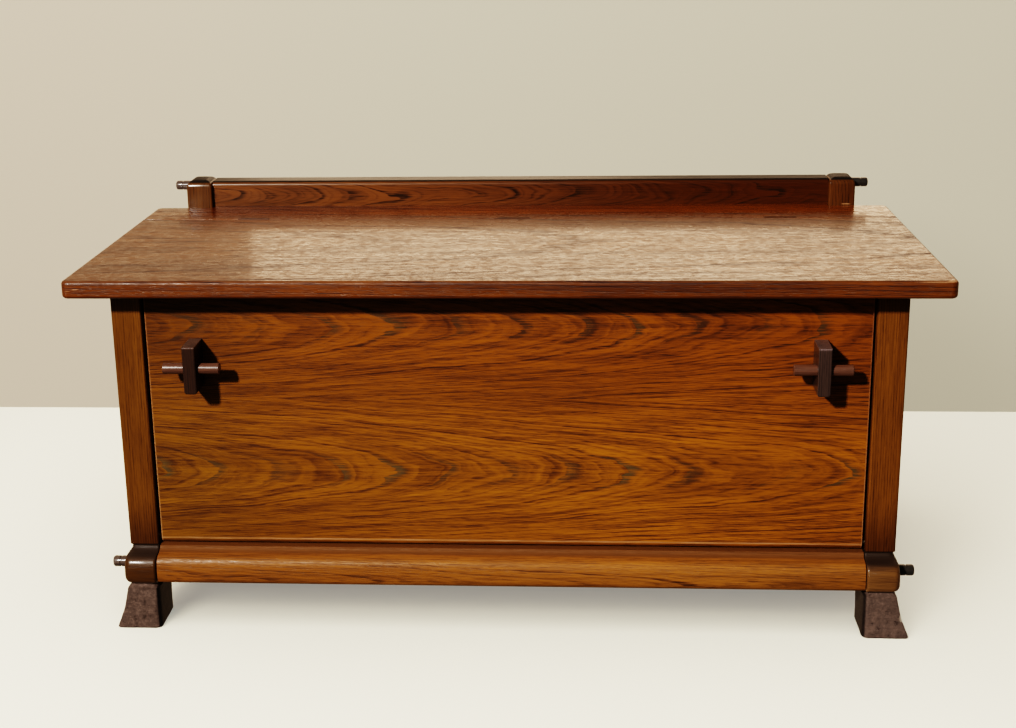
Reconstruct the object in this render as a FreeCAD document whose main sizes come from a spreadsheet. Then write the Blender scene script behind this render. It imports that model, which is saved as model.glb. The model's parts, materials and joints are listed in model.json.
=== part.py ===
import FreeCAD, Part
import Sketcher
import os

# A low oak chest on a moulded base, in millimetres, with +Z up and the front towards -Y.
# The origin is on the floor, under the middle of the whole piece.

DOCUMENT = FreeCAD.newDocument("bible_box_on_stand")
SHEET = DOCUMENT.addObject("Spreadsheet::Sheet", "sizes")

# Driving dimensions, one cell of the sheet each.
SIZES = {
    # top boards
    "top_width": 1200.0,
    "top_depth": 500.0,
    "top_thickness": 25.0,
    "top_height": 527.0,
    "side_overhang": 51.0,
    "front_overhang": 52.0,
    "top_corner_radius": 10.0,
    "top_arris_radius": 5.0,
    "strip_depth": 95.0,
    "lid_joint_gap": 2.0,
    "lid_joint_arris": 0.8,
    "lid_seat_gap": 0.3,
    # posts
    "post_width": 42.0,
    "front_post_depth": 42.0,
    "rear_post_depth": 52.0,
    "front_post_arris": 2.5,
    "front_post_foot_arris": 2.4,
    "rear_post_arris": 5.5,
    "rear_post_head_arris": 5.4,
    # gallery above the top
    "gallery_post_rise": 45.0,
    "gallery_rail_rise": 42.0,
    "gallery_setback": 9.0,
    "gallery_arris": 8.0,
    "gallery_tenon_lip": 4.0,
    "gallery_pin_drop": 9.5,
    "gallery_pin_setforward": 1.0,
    # base: corner blocks and rails
    "foot_height": 70.0,
    "ledge_rise": 40.0,
    "collar_rise": 8.5,
    "block_proud": 4.0,
    "block_lap": 1.0,
    "block_reach": 31.3,
    "block_corner_radius": 9.4,
    "block_top_radius": 4.0,
    "block_bottom_radius": 9.0,
    "collar_inset": 3.0,
    "collar_lead": 2.0,
    "collar_corner_radius": 4.0,
    "collar_arris": 2.0,
    "collar_cove": 2.5,
    "block_inner_arris": 1.5,
    "rail_setback": 3.8,
    "rail_collar_lead": 6.0,
    "side_collar_inset": 5.0,
    "rail_cove": 7.0,
    "rail_top_radius": 8.5,
    "rail_bottom_radius": 4.0,
    "rail_arris": 1.0,
    "base_side_rail_width": 52.0,
    "base_tenon_thickness": 18.0,
    "base_tenon_height": 24.0,
    # feet
    "foot_top_width": 45.5,
    "foot_inner_lap": 4.0,
    "foot_inner_radius": 10.0,
    "foot_flare": 22.5,
    "foot_arris": 3.0,
    "foot_neck_height": 4.0,
    "foot_neck_inset": 4.0,
    "foot_dowel_diameter": 16.0,
    "foot_dowel_length": 36.0,
    "foot_dowel_inset": 18.0,
    # pins that stand out of the corner blocks and the gallery posts
    "pin_reach": 24.0,
    "base_pin_diameter": 16.0,
    "gallery_pin_diameter": 15.0,
    "pin_shank_diameter": 8.0,
    "pin_shank_length": 56.0,
    "pin_ring_width": 1.5,
    "pin_ring_depth": 0.8,
    "pin_end_length": 4.0,
    "pin_end_chamfer": 1.5,
    # rails, tenons and panels of the case
    "case_rail_height": 45.0,
    "case_rail_thickness": 22.0,
    "tenon_length": 20.0,
    "tenon_spare": 1.0,
    "tenon_play": 0.1,
    "mortise_spare": 1.0,
    "panel_thickness": 10.0,
    "panel_outer_inset": 11.0,
    "back_panel_thickness": 8.0,
    "back_panel_setback": 20.0,
    "groove_depth": 8.0,
    "groove_play": 0.5,
    "bottom_thickness": 15.0,
    "bottom_play": 0.5,
    # fall flap at the front
    "flap_thickness": 18.0,
    "flap_recess": 5.0,
    "flap_side_gap": 3.5,
    "flap_top_gap": 3.0,
    "flap_bottom_gap": 1.0,
    "flap_back_gap": 0.6,
    "flap_arris": 1.5,
    "flap_pin_diameter": 8.0,
    "flap_pin_depth": 30.0,
    "flap_pin_reach": 12.0,
    "flap_bush_wall": 1.5,
    "flap_bush_length": 14.0,
    "running_play": 0.05,
    # pulls on the flap
    "handle_side_inset": 70.5,
    "handle_drop": 102.5,
    "handle_width": 18.0,
    "handle_height": 68.0,
    "handle_reach": 45.0,
    "handle_arris": 1.5,
    "handle_toe_radius": 4.0,
    "handle_dowel_diameter": 15.5,
    "handle_dowel_length": 80.0,
    "handle_dowel_standoff": 31.5,
    "handle_dowel_chamfer": 1.0,
    "handle_screw_spread": 17.0,
    # magnetic catches at the top of the flap
    "catch_side_inset": 123.5,
    "catch_drop": 22.0,
    "magnet_diameter": 10.0,
    "magnet_length": 8.0,
    "keeper_diameter": 16.0,
    "keeper_thickness": 2.0,
    # butt hinges in the joint of the top
    "hinge_length": 50.0,
    "hinge_side_inset": 182.0,
    "hinge_leaf_thickness": 1.2,
    "hinge_leaf_height": 18.0,
    "hinge_barrel_radius": 2.0,
    "hinge_barrel_play": 0.4,
    "hinge_knuckle_gap": 0.3,
    "hinge_pin_radius": 1.0,
    "hinge_screw_spacing": 17.0,
    # wood screws
    "screw_head_radius": 2.8,
    "screw_shank_radius": 1.5,
    "screw_length": 15.0,
    "long_screw_length": 32.0,
    "screw_head_height": 1.2,
    # battens under the lid
    "batten_side_inset": 268.0,
    "batten_width": 40.0,
    "batten_thickness": 18.0,
    "batten_front_inset": 130.0,
    "batten_rear_inset": 35.0,
    "batten_arris": 3.0,
    "batten_screw_inset": 30.0,
    # how far a cutting tool runs past the face that it cuts
    "overrun": 1.0,
}

KNUCKLES = 5
EVERY_OTHER = 2
FULL_TURN = 360
QUARTER_TURN = 90
SAME_PLACE = 1e-4
NO_CHANGE = 1e-6
AXIS_TURNS = {
    "x": FreeCAD.Rotation(FreeCAD.Vector(0, 1, 0), QUARTER_TURN),
    "y": FreeCAD.Rotation(FreeCAD.Vector(1, 0, 0), -QUARTER_TURN),
    "z": FreeCAD.Rotation(),
}


class Size:
    """A length: its value in millimetres, and its formula in cells of the sheet."""

    def __init__(self, value, formula):
        self.value = value
        self.formula = formula

    def __add__(self, other):
        return Size(self.value + value_of(other), f"({self.formula} + {formula_of(other)})")

    def __sub__(self, other):
        return Size(self.value - value_of(other), f"({self.formula} - {formula_of(other)})")

    def __mul__(self, count):
        return Size(self.value * value_of(count), f"({self.formula} * {formula_of(count)})")

    def __truediv__(self, count):
        return Size(self.value / value_of(count), f"({self.formula} / {formula_of(count)})")

    def __radd__(self, other):
        return Size(value_of(other) + self.value, f"({formula_of(other)} + {self.formula})")

    def __rsub__(self, other):
        return Size(value_of(other) - self.value, f"({formula_of(other)} - {self.formula})")

    def __neg__(self):
        return Size(-self.value, f"(-{self.formula})")


def value_of(length):
    return length.value if isinstance(length, Size) else float(length)


def formula_of(length):
    return length.formula if isinstance(length, Size) else repr(length)


class Cells:
    """The driving dimensions by name, each tied to its own cell."""

    def __init__(self, sizes):
        for row, (alias, value) in enumerate(sizes.items(), start=1):
            SHEET.set(f"A{row}", alias)
            SHEET.set(f"B{row}", str(value))
            SHEET.setAlias(f"B{row}", alias)
            setattr(self, alias, Size(value, f"{SHEET.Name}.{alias}"))


mm = Cells(SIZES)
DOCUMENT.recompute()

# Places that several pieces share, worked out from the driving dimensions.
HALF_TOP = mm.top_width / 2
FRONT = -(mm.top_depth + mm.rear_post_depth + mm.block_proud) / 2
POST_OUTER = HALF_TOP - mm.side_overhang
POST_INNER = POST_OUTER - mm.post_width
POST_FRONT = FRONT + mm.front_overhang
POST_BACK = POST_FRONT + mm.front_post_depth
REAR_POST_FRONT = FRONT + mm.top_depth
REAR_POST_BACK = REAR_POST_FRONT + mm.rear_post_depth
TOP_UNDER = mm.top_height - mm.top_thickness
TENON_SHOULDER = mm.groove_depth + mm.tenon_spare
LEDGE = mm.foot_height + mm.ledge_rise
BLOCK_TOP = LEDGE + mm.collar_rise
BLOCK_OUTER = POST_OUTER + mm.block_proud
BLOCK_INNER = POST_INNER - mm.block_lap
BLOCK_FRONT = POST_FRONT - mm.block_reach
BLOCK_DEPTH = POST_BACK - BLOCK_FRONT
REAR_BLOCK_BACK = REAR_POST_BACK + mm.block_proud
REAR_BLOCK_FRONT = REAR_BLOCK_BACK - BLOCK_DEPTH
BASE_PIN_HEIGHT = mm.foot_height + mm.ledge_rise / 2
CASE_RAIL_BOTTOM = TOP_UNDER - mm.case_rail_height
PANEL_OUTER = POST_OUTER - mm.panel_outer_inset
PANEL_INNER = PANEL_OUTER - mm.panel_thickness
PANEL_CENTRE = PANEL_OUTER - mm.panel_thickness / 2
BACK_PANEL_FRONT = REAR_POST_FRONT + mm.back_panel_setback
BACK_PANEL_CENTRE = BACK_PANEL_FRONT + mm.back_panel_thickness / 2
FLAP_FRONT = POST_FRONT + mm.flap_recess
FLAP_BACK = FLAP_FRONT + mm.flap_thickness
FLAP_AXIS_Y = FLAP_FRONT + mm.flap_thickness / 2
FLAP_BOTTOM = BLOCK_TOP + mm.flap_bottom_gap
FLAP_AXIS_Z = FLAP_BOTTOM + mm.flap_thickness / 2
FLAP_TOP = TOP_UNDER - mm.flap_top_gap
FLAP_HALF = POST_INNER - mm.flap_side_gap
HEADER_FRONT = FLAP_BACK + mm.flap_back_gap
HANDLE_X = FLAP_HALF - mm.handle_side_inset
HANDLE_Z = FLAP_TOP - mm.handle_drop
CATCH_X = FLAP_HALF - mm.catch_side_inset
HINGE_X = HALF_TOP - mm.hinge_side_inset
BATTEN_X = HALF_TOP - mm.batten_side_inset
LID_AXIS_Y = REAR_POST_FRONT - mm.strip_depth
LID_BACK = LID_AXIS_Y - mm.lid_joint_gap / 2
STRIP_FRONT = LID_AXIS_Y + mm.lid_joint_gap / 2
LID_UNDER = TOP_UNDER + mm.lid_seat_gap
GALLERY_TOP = mm.top_height + mm.gallery_rail_rise
GALLERY_FRONT = REAR_POST_FRONT + mm.gallery_setback
GALLERY_THICKNESS = REAR_POST_BACK - GALLERY_FRONT
GALLERY_TENON_BOTTOM = TOP_UNDER + TENON_SHOULDER
GALLERY_TENON_HEIGHT = GALLERY_TOP - mm.gallery_tenon_lip - GALLERY_TENON_BOTTOM
GALLERY_PIN_Y = GALLERY_FRONT + GALLERY_THICKNESS / 2 - mm.gallery_pin_setforward
GALLERY_PIN_Z = GALLERY_TOP - mm.gallery_pin_drop
MORTISE_DEPTH = mm.tenon_length + mm.mortise_spare
CATCH_Z = TOP_UNDER - mm.catch_drop

PARTS = {}


def bind(thing, prop, length):
    """Ties a property to the sheet, so that it follows a changed size."""
    if isinstance(length, Size):
        thing.setExpression(prop, length.formula)


def keep(label, thing):
    """Names a finished sub-part, which is written to its own file."""
    thing.Label = label
    PARTS[label] = thing
    return thing


# Bodies made of sketches, pads, pockets and fillets.


def new_body(label, corner, finished=True):
    body = DOCUMENT.addObject("PartDesign::Body", label)
    for axis, length in zip("xyz", corner):
        bind(body, f"Placement.Base.{axis}", length)
    if finished:
        keep(label, body)
    return body


def new_sketch(body, name, plane, offset):
    sketch = body.newObject("Sketcher::SketchObject", f"{body.Name}_{name}_sketch")
    support = [item for item in body.Origin.OriginFeatures if item.Role == plane][0]
    sketch.AttachmentSupport = (support, [""])
    sketch.MapMode = "FlatFace"
    for axis, length in zip("xyz", offset):
        bind(sketch, f"AttachmentOffset.Base.{axis}", length)
    return sketch


def tie(sketch, kind, references, length):
    """Adds a dimension to a sketch, named and tied to the sheet."""
    index = sketch.addConstraint(Sketcher.Constraint(kind, *references, value_of(length)))
    name = f"{kind.lower()}_{index}"
    sketch.renameConstraint(index, name)
    bind(sketch, f"Constraints.{name}", length)


def outline(body, name, plane, points, offset):
    """A closed outline of straight lines, each corner placed from the sketch's origin."""
    sketch = new_sketch(body, name, plane, offset)
    corners = [FreeCAD.Vector(value_of(sideways), value_of(up), 0) for sideways, up in points]
    for start, end in zip(corners, corners[1:] + corners[:1]):
        sketch.addGeometry(Part.LineSegment(start, end), False)
    for line, (sideways, up) in enumerate(points):
        following = (line + 1) % len(points)
        sketch.addConstraint(Sketcher.Constraint("Coincident", line, 2, following, 1))
        if isinstance(sideways, Size):
            tie(sketch, "DistanceX", (-1, 1, line, 1), sideways)
        else:
            sketch.addConstraint(Sketcher.Constraint("PointOnObject", line, 1, -2))
        if isinstance(up, Size):
            tie(sketch, "DistanceY", (-1, 1, line, 1), up)
        else:
            sketch.addConstraint(Sketcher.Constraint("PointOnObject", line, 1, -1))
    return sketch


def circle(body, name, plane, diameter, offset):
    sketch = new_sketch(body, name, plane, offset)
    radius = value_of(diameter) / 2
    ring = Part.Circle(FreeCAD.Vector(), FreeCAD.Vector(0, 0, 1), radius)
    sketch.addGeometry(ring, False)
    sketch.addConstraint(Sketcher.Constraint("Coincident", 0, 3, -1, 1))
    tie(sketch, "Diameter", (0,), diameter)
    return sketch


def extrude(body, kind, name, sketch, length, turned=False):
    before = body.Shape.Volume if body.Tip else 0
    feature = body.newObject(f"PartDesign::{kind}", f"{body.Name}_{name}")
    feature.Profile = sketch
    feature.Reversed = turned
    bind(feature, "Length", length)
    DOCUMENT.recompute()
    grown = feature.Shape.Volume - before
    if (kind == "Pocket") == (grown > 0) or abs(grown) < NO_CHANGE:
        raise ValueError(f"{feature.Name} changed nothing")
    return feature


def rectangle(width, height):
    return [(0, 0), (width, 0), (width, height), (0, height)]


def add_box(body, name, corner, lengths):
    sketch = outline(body, name, "XY_Plane", rectangle(lengths[0], lengths[1]), corner)
    return extrude(body, "Pad", name, sketch, lengths[2])


def cut_box(body, name, corner, lengths):
    sketch = outline(body, name, "XY_Plane", rectangle(lengths[0], lengths[1]), corner)
    return extrude(body, "Pocket", name, sketch, lengths[2], turned=True)


def across(axis, start):
    """The origin plane square to an axis, and a place given in that plane's own directions."""
    x, y, z = start
    if axis == "x":
        return "YZ_Plane", (y, z, x)
    if axis == "y":
        return "XZ_Plane", (x, z, -y if isinstance(y, Size) else 0)
    return "XY_Plane", (x, y, z)


def cut_bore(body, name, axis, start, diameter, length):
    """A round hole that starts at a place and runs along the axis."""
    plane, offset = across(axis, start)
    sketch = circle(body, name, plane, diameter, offset)
    return extrude(body, "Pocket", name, sketch, length, turned=axis != "y")


def add_rod(body, name, axis, start, diameter, length):
    plane, offset = across(axis, start)
    sketch = circle(body, name, plane, diameter, offset)
    return extrude(body, "Pad", name, sketch, length, turned=axis == "y")


def turn(body, profile):
    """Turns half a profile round the body's own X axis."""
    sketch = outline(body, "profile", "XZ_Plane", profile, (0, 0, 0))
    turned = body.newObject("PartDesign::Revolution", f"{body.Name}_turned")
    turned.Profile = sketch
    turned.ReferenceAxis = (sketch, ["H_Axis"])
    turned.Angle = FULL_TURN
    DOCUMENT.recompute()
    return body


def edges_at(body, *places):
    """Names of the edges that lie wholly at one of the given places, such as x and z."""
    names = []
    for number, edge in enumerate(body.Tip.Shape.Edges, start=1):
        middle = edge.valueAt((edge.FirstParameter + edge.LastParameter) / 2)
        points = [vertex.Point for vertex in edge.Vertexes] + [middle]
        for place in places:
            offs = [abs(getattr(p, axis) - value_of(at)) for p in points for axis, at in place.items()]
            if max(offs) < SAME_PLACE:
                names.append(f"Edge{number}")
                break
    return names


def ease(body, name, radius, *places):
    """Rounds the edges that lie at the given places of the body."""
    base = body.Tip
    names = edges_at(body, *places)
    if not names:
        raise ValueError(f"{body.Label} has no edge for {name}")
    fillet = body.newObject("PartDesign::Fillet", f"{body.Name}_{name}")
    fillet.Base = (base, names)
    bind(fillet, "Radius", radius)
    DOCUMENT.recompute()
    return fillet


def mirror(label, source):
    """The left piece, as the mirror image of the right one."""
    twin = DOCUMENT.addObject("Part::Mirroring", label)
    twin.Source = source
    twin.Normal = FreeCAD.Vector(1, 0, 0)
    return keep(label, twin)


# Primitives and booleans, for hardware and for boards that are only cut and drilled.


def box(name, corner, lengths):
    solid = DOCUMENT.addObject("Part::Box", name)
    for prop, length in zip(("Length", "Width", "Height"), lengths):
        bind(solid, prop, length)
    for axis, length in zip("xyz", corner):
        bind(solid, f"Placement.Base.{axis}", length)
    return solid


def stand(solid, axis, start):
    solid.Placement = FreeCAD.Placement(FreeCAD.Vector(), AXIS_TURNS[axis])
    for letter, length in zip("xyz", start):
        bind(solid, f"Placement.Base.{letter}", length)
    return solid


def cylinder(name, axis, start, radius, length):
    solid = DOCUMENT.addObject("Part::Cylinder", name)
    bind(solid, "Radius", radius)
    bind(solid, "Height", length)
    return stand(solid, axis, start)


def cone(name, axis, start, first_radius, last_radius, length):
    solid = DOCUMENT.addObject("Part::Cone", name)
    bind(solid, "Radius1", first_radius)
    bind(solid, "Radius2", last_radius)
    bind(solid, "Height", length)
    return stand(solid, axis, start)


def fuse(name, solids):
    joined = DOCUMENT.addObject("Part::MultiFuse", name)
    joined.Shapes = solids
    return joined


def cut(name, base, tool):
    result = DOCUMENT.addObject("Part::Cut", name)
    result.Base = base
    result.Tool = tool
    return result


def group(label, solids):
    """Several like solids that share one node."""
    gathered = DOCUMENT.addObject("Part::Compound", label)
    gathered.Links = solids
    return keep(label, gathered)


def mirrored_x(length):
    """The same place on the right and on the left."""
    return {"right": length, "left": -length}


# Wood screws. The head's flat face lies at the start, and the shank runs along the axis.


def screw(name, axis, start, length, backwards=False, play=0):
    """A countersunk screw; backwards makes it run against the axis, play makes it a hole."""
    along = dict(zip("xyz", start))
    head_radius = mm.screw_head_radius + play
    shank_radius = mm.screw_shank_radius + play
    shank_length = length - mm.screw_head_height
    neck = dict(along)
    tip = dict(along)
    if backwards:
        neck[axis] = along[axis] - mm.screw_head_height
        tip[axis] = along[axis] - length
        head = cone(f"{name}_head", axis, neck.values(), shank_radius, head_radius,
                    mm.screw_head_height)
        shank = cylinder(f"{name}_shank", axis, tip.values(), shank_radius, shank_length)
    else:
        neck[axis] = along[axis] + mm.screw_head_height
        head = cone(f"{name}_head", axis, start, head_radius, shank_radius, mm.screw_head_height)
        shank = cylinder(f"{name}_shank", axis, neck.values(), shank_radius, shank_length)
    return fuse(name, [head, shank])


# Hinge places, used by the leaves, the pins, the screws and the boards that they are let into.

HINGE_CENTRES = {"left": -HINGE_X, "middle": 0, "right": HINGE_X}
HINGE_SCREWS = {"first": -mm.hinge_screw_spacing, "second": 0, "third": mm.hinge_screw_spacing}
HINGE_SCREW_Z = mm.top_height - mm.hinge_barrel_radius - mm.hinge_leaf_height / 2


def hinge_screws(side, use, play=0):
    """Three screws, or their holes, for each hinge leaf of the lid or of the fixed strip."""
    screws = []
    for hinge, centre in HINGE_CENTRES.items():
        for order, shift in HINGE_SCREWS.items():
            face = LID_BACK if side == "lid" else STRIP_FRONT
            start = (centre + shift, face, HINGE_SCREW_Z)
            name = f"hinge_{use}_{side}_{hinge}_{order}"
            screws.append(screw(name, "y", start, mm.screw_length, side == "lid", play))
    return screws


def hinge_housings(side):
    """What is cut out of a board for its hinges: the leaf's recess and room for the barrel."""
    tools = []
    for hinge, centre in HINGE_CENTRES.items():
        depth = mm.hinge_leaf_thickness
        start_y = LID_BACK - depth if side == "lid" else STRIP_FRONT - mm.overrun
        bottom = mm.top_height - mm.hinge_barrel_radius - mm.hinge_leaf_height
        corner = (centre - mm.hinge_length / 2, start_y, bottom)
        lengths = (mm.hinge_length, depth + mm.overrun,
                   mm.hinge_barrel_radius + mm.hinge_leaf_height + mm.overrun)
        tools.append(box(f"hinge_housing_{side}_{hinge}", corner, lengths))
        radius = mm.hinge_barrel_radius + mm.hinge_barrel_play
        start = (centre - mm.hinge_length / 2, LID_AXIS_Y, mm.top_height)
        tools.append(cylinder(f"barrel_room_{side}_{hinge}", "x", start, radius, mm.hinge_length))
    return tools


def hinge_leaves(side):
    """One leaf for each hinge, with its knuckles, pin bore and screw holes."""
    first = 0 if side == "lid" else 1
    solids = []
    bores = []
    pitch = mm.hinge_length / KNUCKLES
    for hinge, centre in HINGE_CENTRES.items():
        left = centre - mm.hinge_length / 2
        face = LID_BACK - mm.hinge_leaf_thickness if side == "lid" else STRIP_FRONT
        room = mm.hinge_barrel_radius + mm.hinge_barrel_play
        top = mm.top_height - room
        bottom = mm.top_height - mm.hinge_barrel_radius - mm.hinge_leaf_height
        name = f"leaf_{side}_{hinge}"
        solids.append(box(f"{name}_plate", (left, face, bottom),
                          (mm.hinge_length, mm.hinge_leaf_thickness, top - bottom)))
        for order in range(first, KNUCKLES, EVERY_OTHER):
            start = left + pitch * order + mm.hinge_knuckle_gap / 2
            length = pitch - mm.hinge_knuckle_gap
            solids.append(cylinder(f"{name}_knuckle_{order}", "x", (start, LID_AXIS_Y, mm.top_height),
                                   mm.hinge_barrel_radius, length))
            solids.append(box(f"{name}_web_{order}", (start, face, top),
                              (length, mm.hinge_leaf_thickness, room)))
        bores.append(cylinder(f"{name}_bore", "x", (left, LID_AXIS_Y, mm.top_height),
                              mm.hinge_pin_radius + mm.running_play, mm.hinge_length))
    holes = hinge_screws(side, "leaf_hole", mm.running_play)
    tools = fuse(f"leaf_{side}_tools", bores + holes)
    label = f"hinge_leaves_{side}"
    return keep(label, cut(label, fuse(f"leaf_{side}_solids", solids), tools))


# Front and rear posts.


def side_joints(body, post_face, name):
    """The mortise for the side rail and the groove for the side panel, on a post's face."""
    slot = mm.panel_thickness + mm.tenon_play * 2
    slot_x = PANEL_INNER - mm.tenon_play - POST_INNER
    mortise_z = CASE_RAIL_BOTTOM + TENON_SHOULDER - mm.tenon_play - BLOCK_TOP
    mortise_height = mm.case_rail_height - TENON_SHOULDER * 2 + mm.tenon_play * 2
    groove_y = post_face - mm.groove_depth if name == "front" else 0
    mortise_y = post_face - MORTISE_DEPTH if name == "front" else 0
    cut_box(body, "side_groove", (slot_x, groove_y, 0),
            (slot, mm.groove_depth, CASE_RAIL_BOTTOM + mm.groove_depth - BLOCK_TOP))
    cut_box(body, "side_mortise", (slot_x, mortise_y, mortise_z),
            (slot, MORTISE_DEPTH, mortise_height))


def post_edges(width, depth):
    return [{"x": 0, "y": 0}, {"x": width, "y": 0}, {"x": 0, "y": depth}, {"x": width, "y": depth}]


def make_front_post():
    body = new_body("front_post_right", (POST_INNER, POST_FRONT, BLOCK_TOP))
    height = TOP_UNDER - BLOCK_TOP
    add_box(body, "stock", (0, 0, 0), (mm.post_width, mm.front_post_depth, height))
    ease(body, "arrises", mm.front_post_arris, *post_edges(mm.post_width, mm.front_post_depth))
    ease(body, "foot", mm.front_post_foot_arris, {"z": 0, "y": 0})
    side_joints(body, mm.front_post_depth, "front")
    header_y = HEADER_FRONT + header_tenon_shoulder() - mm.tenon_play - POST_FRONT
    mortise_z = CASE_RAIL_BOTTOM + TENON_SHOULDER - mm.tenon_play - BLOCK_TOP
    cut_box(body, "header_mortise", (0, header_y, mortise_z),
            (MORTISE_DEPTH, mm.panel_thickness + mm.tenon_play * 2,
             mm.case_rail_height - TENON_SHOULDER * 2 + mm.tenon_play * 2))
    bush = mm.flap_pin_diameter + mm.flap_bush_wall * 2 + mm.running_play * 2
    cut_bore(body, "bush_bore", "x", (0, FLAP_AXIS_Y - POST_FRONT, FLAP_AXIS_Z - BLOCK_TOP),
             bush, mm.flap_bush_length)
    return body


def header_tenon_shoulder():
    """The tenon lies nearer the front of the rail, to leave the post its back."""
    return (mm.case_rail_thickness - mm.panel_thickness) / 2 / 2


def make_rear_post():
    body = new_body("rear_post_right", (POST_INNER, REAR_POST_FRONT, BLOCK_TOP))
    height = mm.top_height + mm.gallery_post_rise - BLOCK_TOP
    add_box(body, "stock", (0, 0, 0), (mm.post_width, mm.rear_post_depth, height))
    ease(body, "arrises", mm.rear_post_arris, *post_edges(mm.post_width, mm.rear_post_depth))
    ease(body, "head", mm.rear_post_head_arris, {"z": height})
    side_joints(body, mm.rear_post_depth, "rear")
    slot = mm.back_panel_thickness + mm.tenon_play * 2
    slot_y = BACK_PANEL_FRONT - mm.tenon_play - REAR_POST_FRONT
    cut_box(body, "back_groove", (0, slot_y, 0),
            (mm.groove_depth, slot, CASE_RAIL_BOTTOM + mm.groove_depth - BLOCK_TOP))
    cut_box(body, "back_mortise",
            (0, slot_y, CASE_RAIL_BOTTOM + TENON_SHOULDER - mm.tenon_play - BLOCK_TOP),
            (MORTISE_DEPTH, slot, mm.case_rail_height - TENON_SHOULDER * 2 + mm.tenon_play * 2))
    tenon = GALLERY_THICKNESS / 2
    cut_box(body, "gallery_mortise",
            (0, GALLERY_FRONT + tenon / 2 - mm.tenon_play - REAR_POST_FRONT,
             GALLERY_TENON_BOTTOM - mm.tenon_play - BLOCK_TOP),
            (MORTISE_DEPTH, tenon + mm.tenon_play * 2, GALLERY_TENON_HEIGHT + mm.tenon_play * 2))
    cut_bore(body, "pin_bore", "x",
             (MORTISE_DEPTH / 2, GALLERY_PIN_Y - REAR_POST_FRONT, GALLERY_PIN_Z - BLOCK_TOP),
             mm.pin_shank_diameter + mm.running_play * 2, mm.post_width)
    return body


# The moulded corner blocks, their feet and the pins that lock the base rails.


def make_block(label, front, is_front):
    """A corner block: a rounded ledge, and a collar on it under the post."""
    body = new_body(label, (BLOCK_INNER, front, mm.foot_height))
    width = BLOCK_OUTER - BLOCK_INNER
    seen = {"y": 0} if is_front else {"y": BLOCK_DEPTH}
    add_box(body, "stock", (0, 0, 0), (width, BLOCK_DEPTH, mm.ledge_rise))
    collar_width = POST_OUTER - mm.collar_inset - BLOCK_INNER
    if is_front:
        collar_y = POST_FRONT - mm.collar_lead - front
        collar_depth = BLOCK_DEPTH - collar_y
        collar_face = collar_y
    else:
        collar_y = 0
        collar_depth = REAR_POST_BACK - mm.collar_inset - front
        collar_face = collar_depth
    add_box(body, "collar", (0, collar_y, mm.ledge_rise), (collar_width, collar_depth, mm.collar_rise))
    ease(body, "corner", mm.block_corner_radius, {"x": width, **seen})
    ease(body, "collar_corner", mm.collar_corner_radius, {"x": collar_width, "y": collar_face})
    ease(body, "bottom", mm.block_bottom_radius, {"x": width, "z": 0})
    ease(body, "top", mm.block_top_radius, {"x": width, "z": mm.ledge_rise})
    ease(body, "cove", mm.collar_cove, {"x": collar_width, "z": mm.ledge_rise})
    top = mm.ledge_rise + mm.collar_rise
    ease(body, "collar_arris", mm.collar_arris, {"x": collar_width, "z": top})
    face = {"x": 0, "y": 0} if is_front else {"x": 0, "y": BLOCK_DEPTH}
    ease(body, "inner_arris", mm.block_inner_arris, face)
    block_joints(body, front, is_front)
    return body


def base_tenon_y(front):
    """The front face of the tenon between a block and the long base rail."""
    return front + (BLOCK_DEPTH - mm.base_tenon_thickness) / 2


def base_tenon_z():
    return BASE_PIN_HEIGHT - mm.base_tenon_height / 2


def side_tenon_x():
    """The inner face of the tenon between a block and a side base rail."""
    return BLOCK_OUTER - mm.rail_setback - mm.base_side_rail_width / 2


def block_joints(body, front, is_front):
    play = mm.tenon_play
    thickness = mm.base_tenon_thickness + play * 2
    height = mm.base_tenon_height + play * 2
    bottom = base_tenon_z() - play - mm.foot_height
    long_y = base_tenon_y(front) - play - front
    cut_box(body, "long_mortise", (0, long_y, bottom), (MORTISE_DEPTH, thickness, height))
    side_y = BLOCK_DEPTH - mm.tenon_length if is_front else 0
    cut_box(body, "side_mortise", (side_tenon_x() - play - BLOCK_INNER, side_y, bottom),
            (thickness, mm.tenon_length, height))
    cut_bore(body, "pin_bore", "x",
             (MORTISE_DEPTH / 2, BLOCK_DEPTH / 2, BASE_PIN_HEIGHT - mm.foot_height),
             mm.pin_shank_diameter + mm.running_play * 2, BLOCK_OUTER - BLOCK_INNER)
    dowel_y = mm.foot_dowel_inset if is_front else BLOCK_DEPTH - mm.foot_dowel_inset
    cut_bore(body, "dowel_bore", "z", ((BLOCK_OUTER - BLOCK_INNER) / 2, dowel_y, 0),
             mm.foot_dowel_diameter + mm.running_play * 2, mm.foot_dowel_length / 2)


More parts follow.
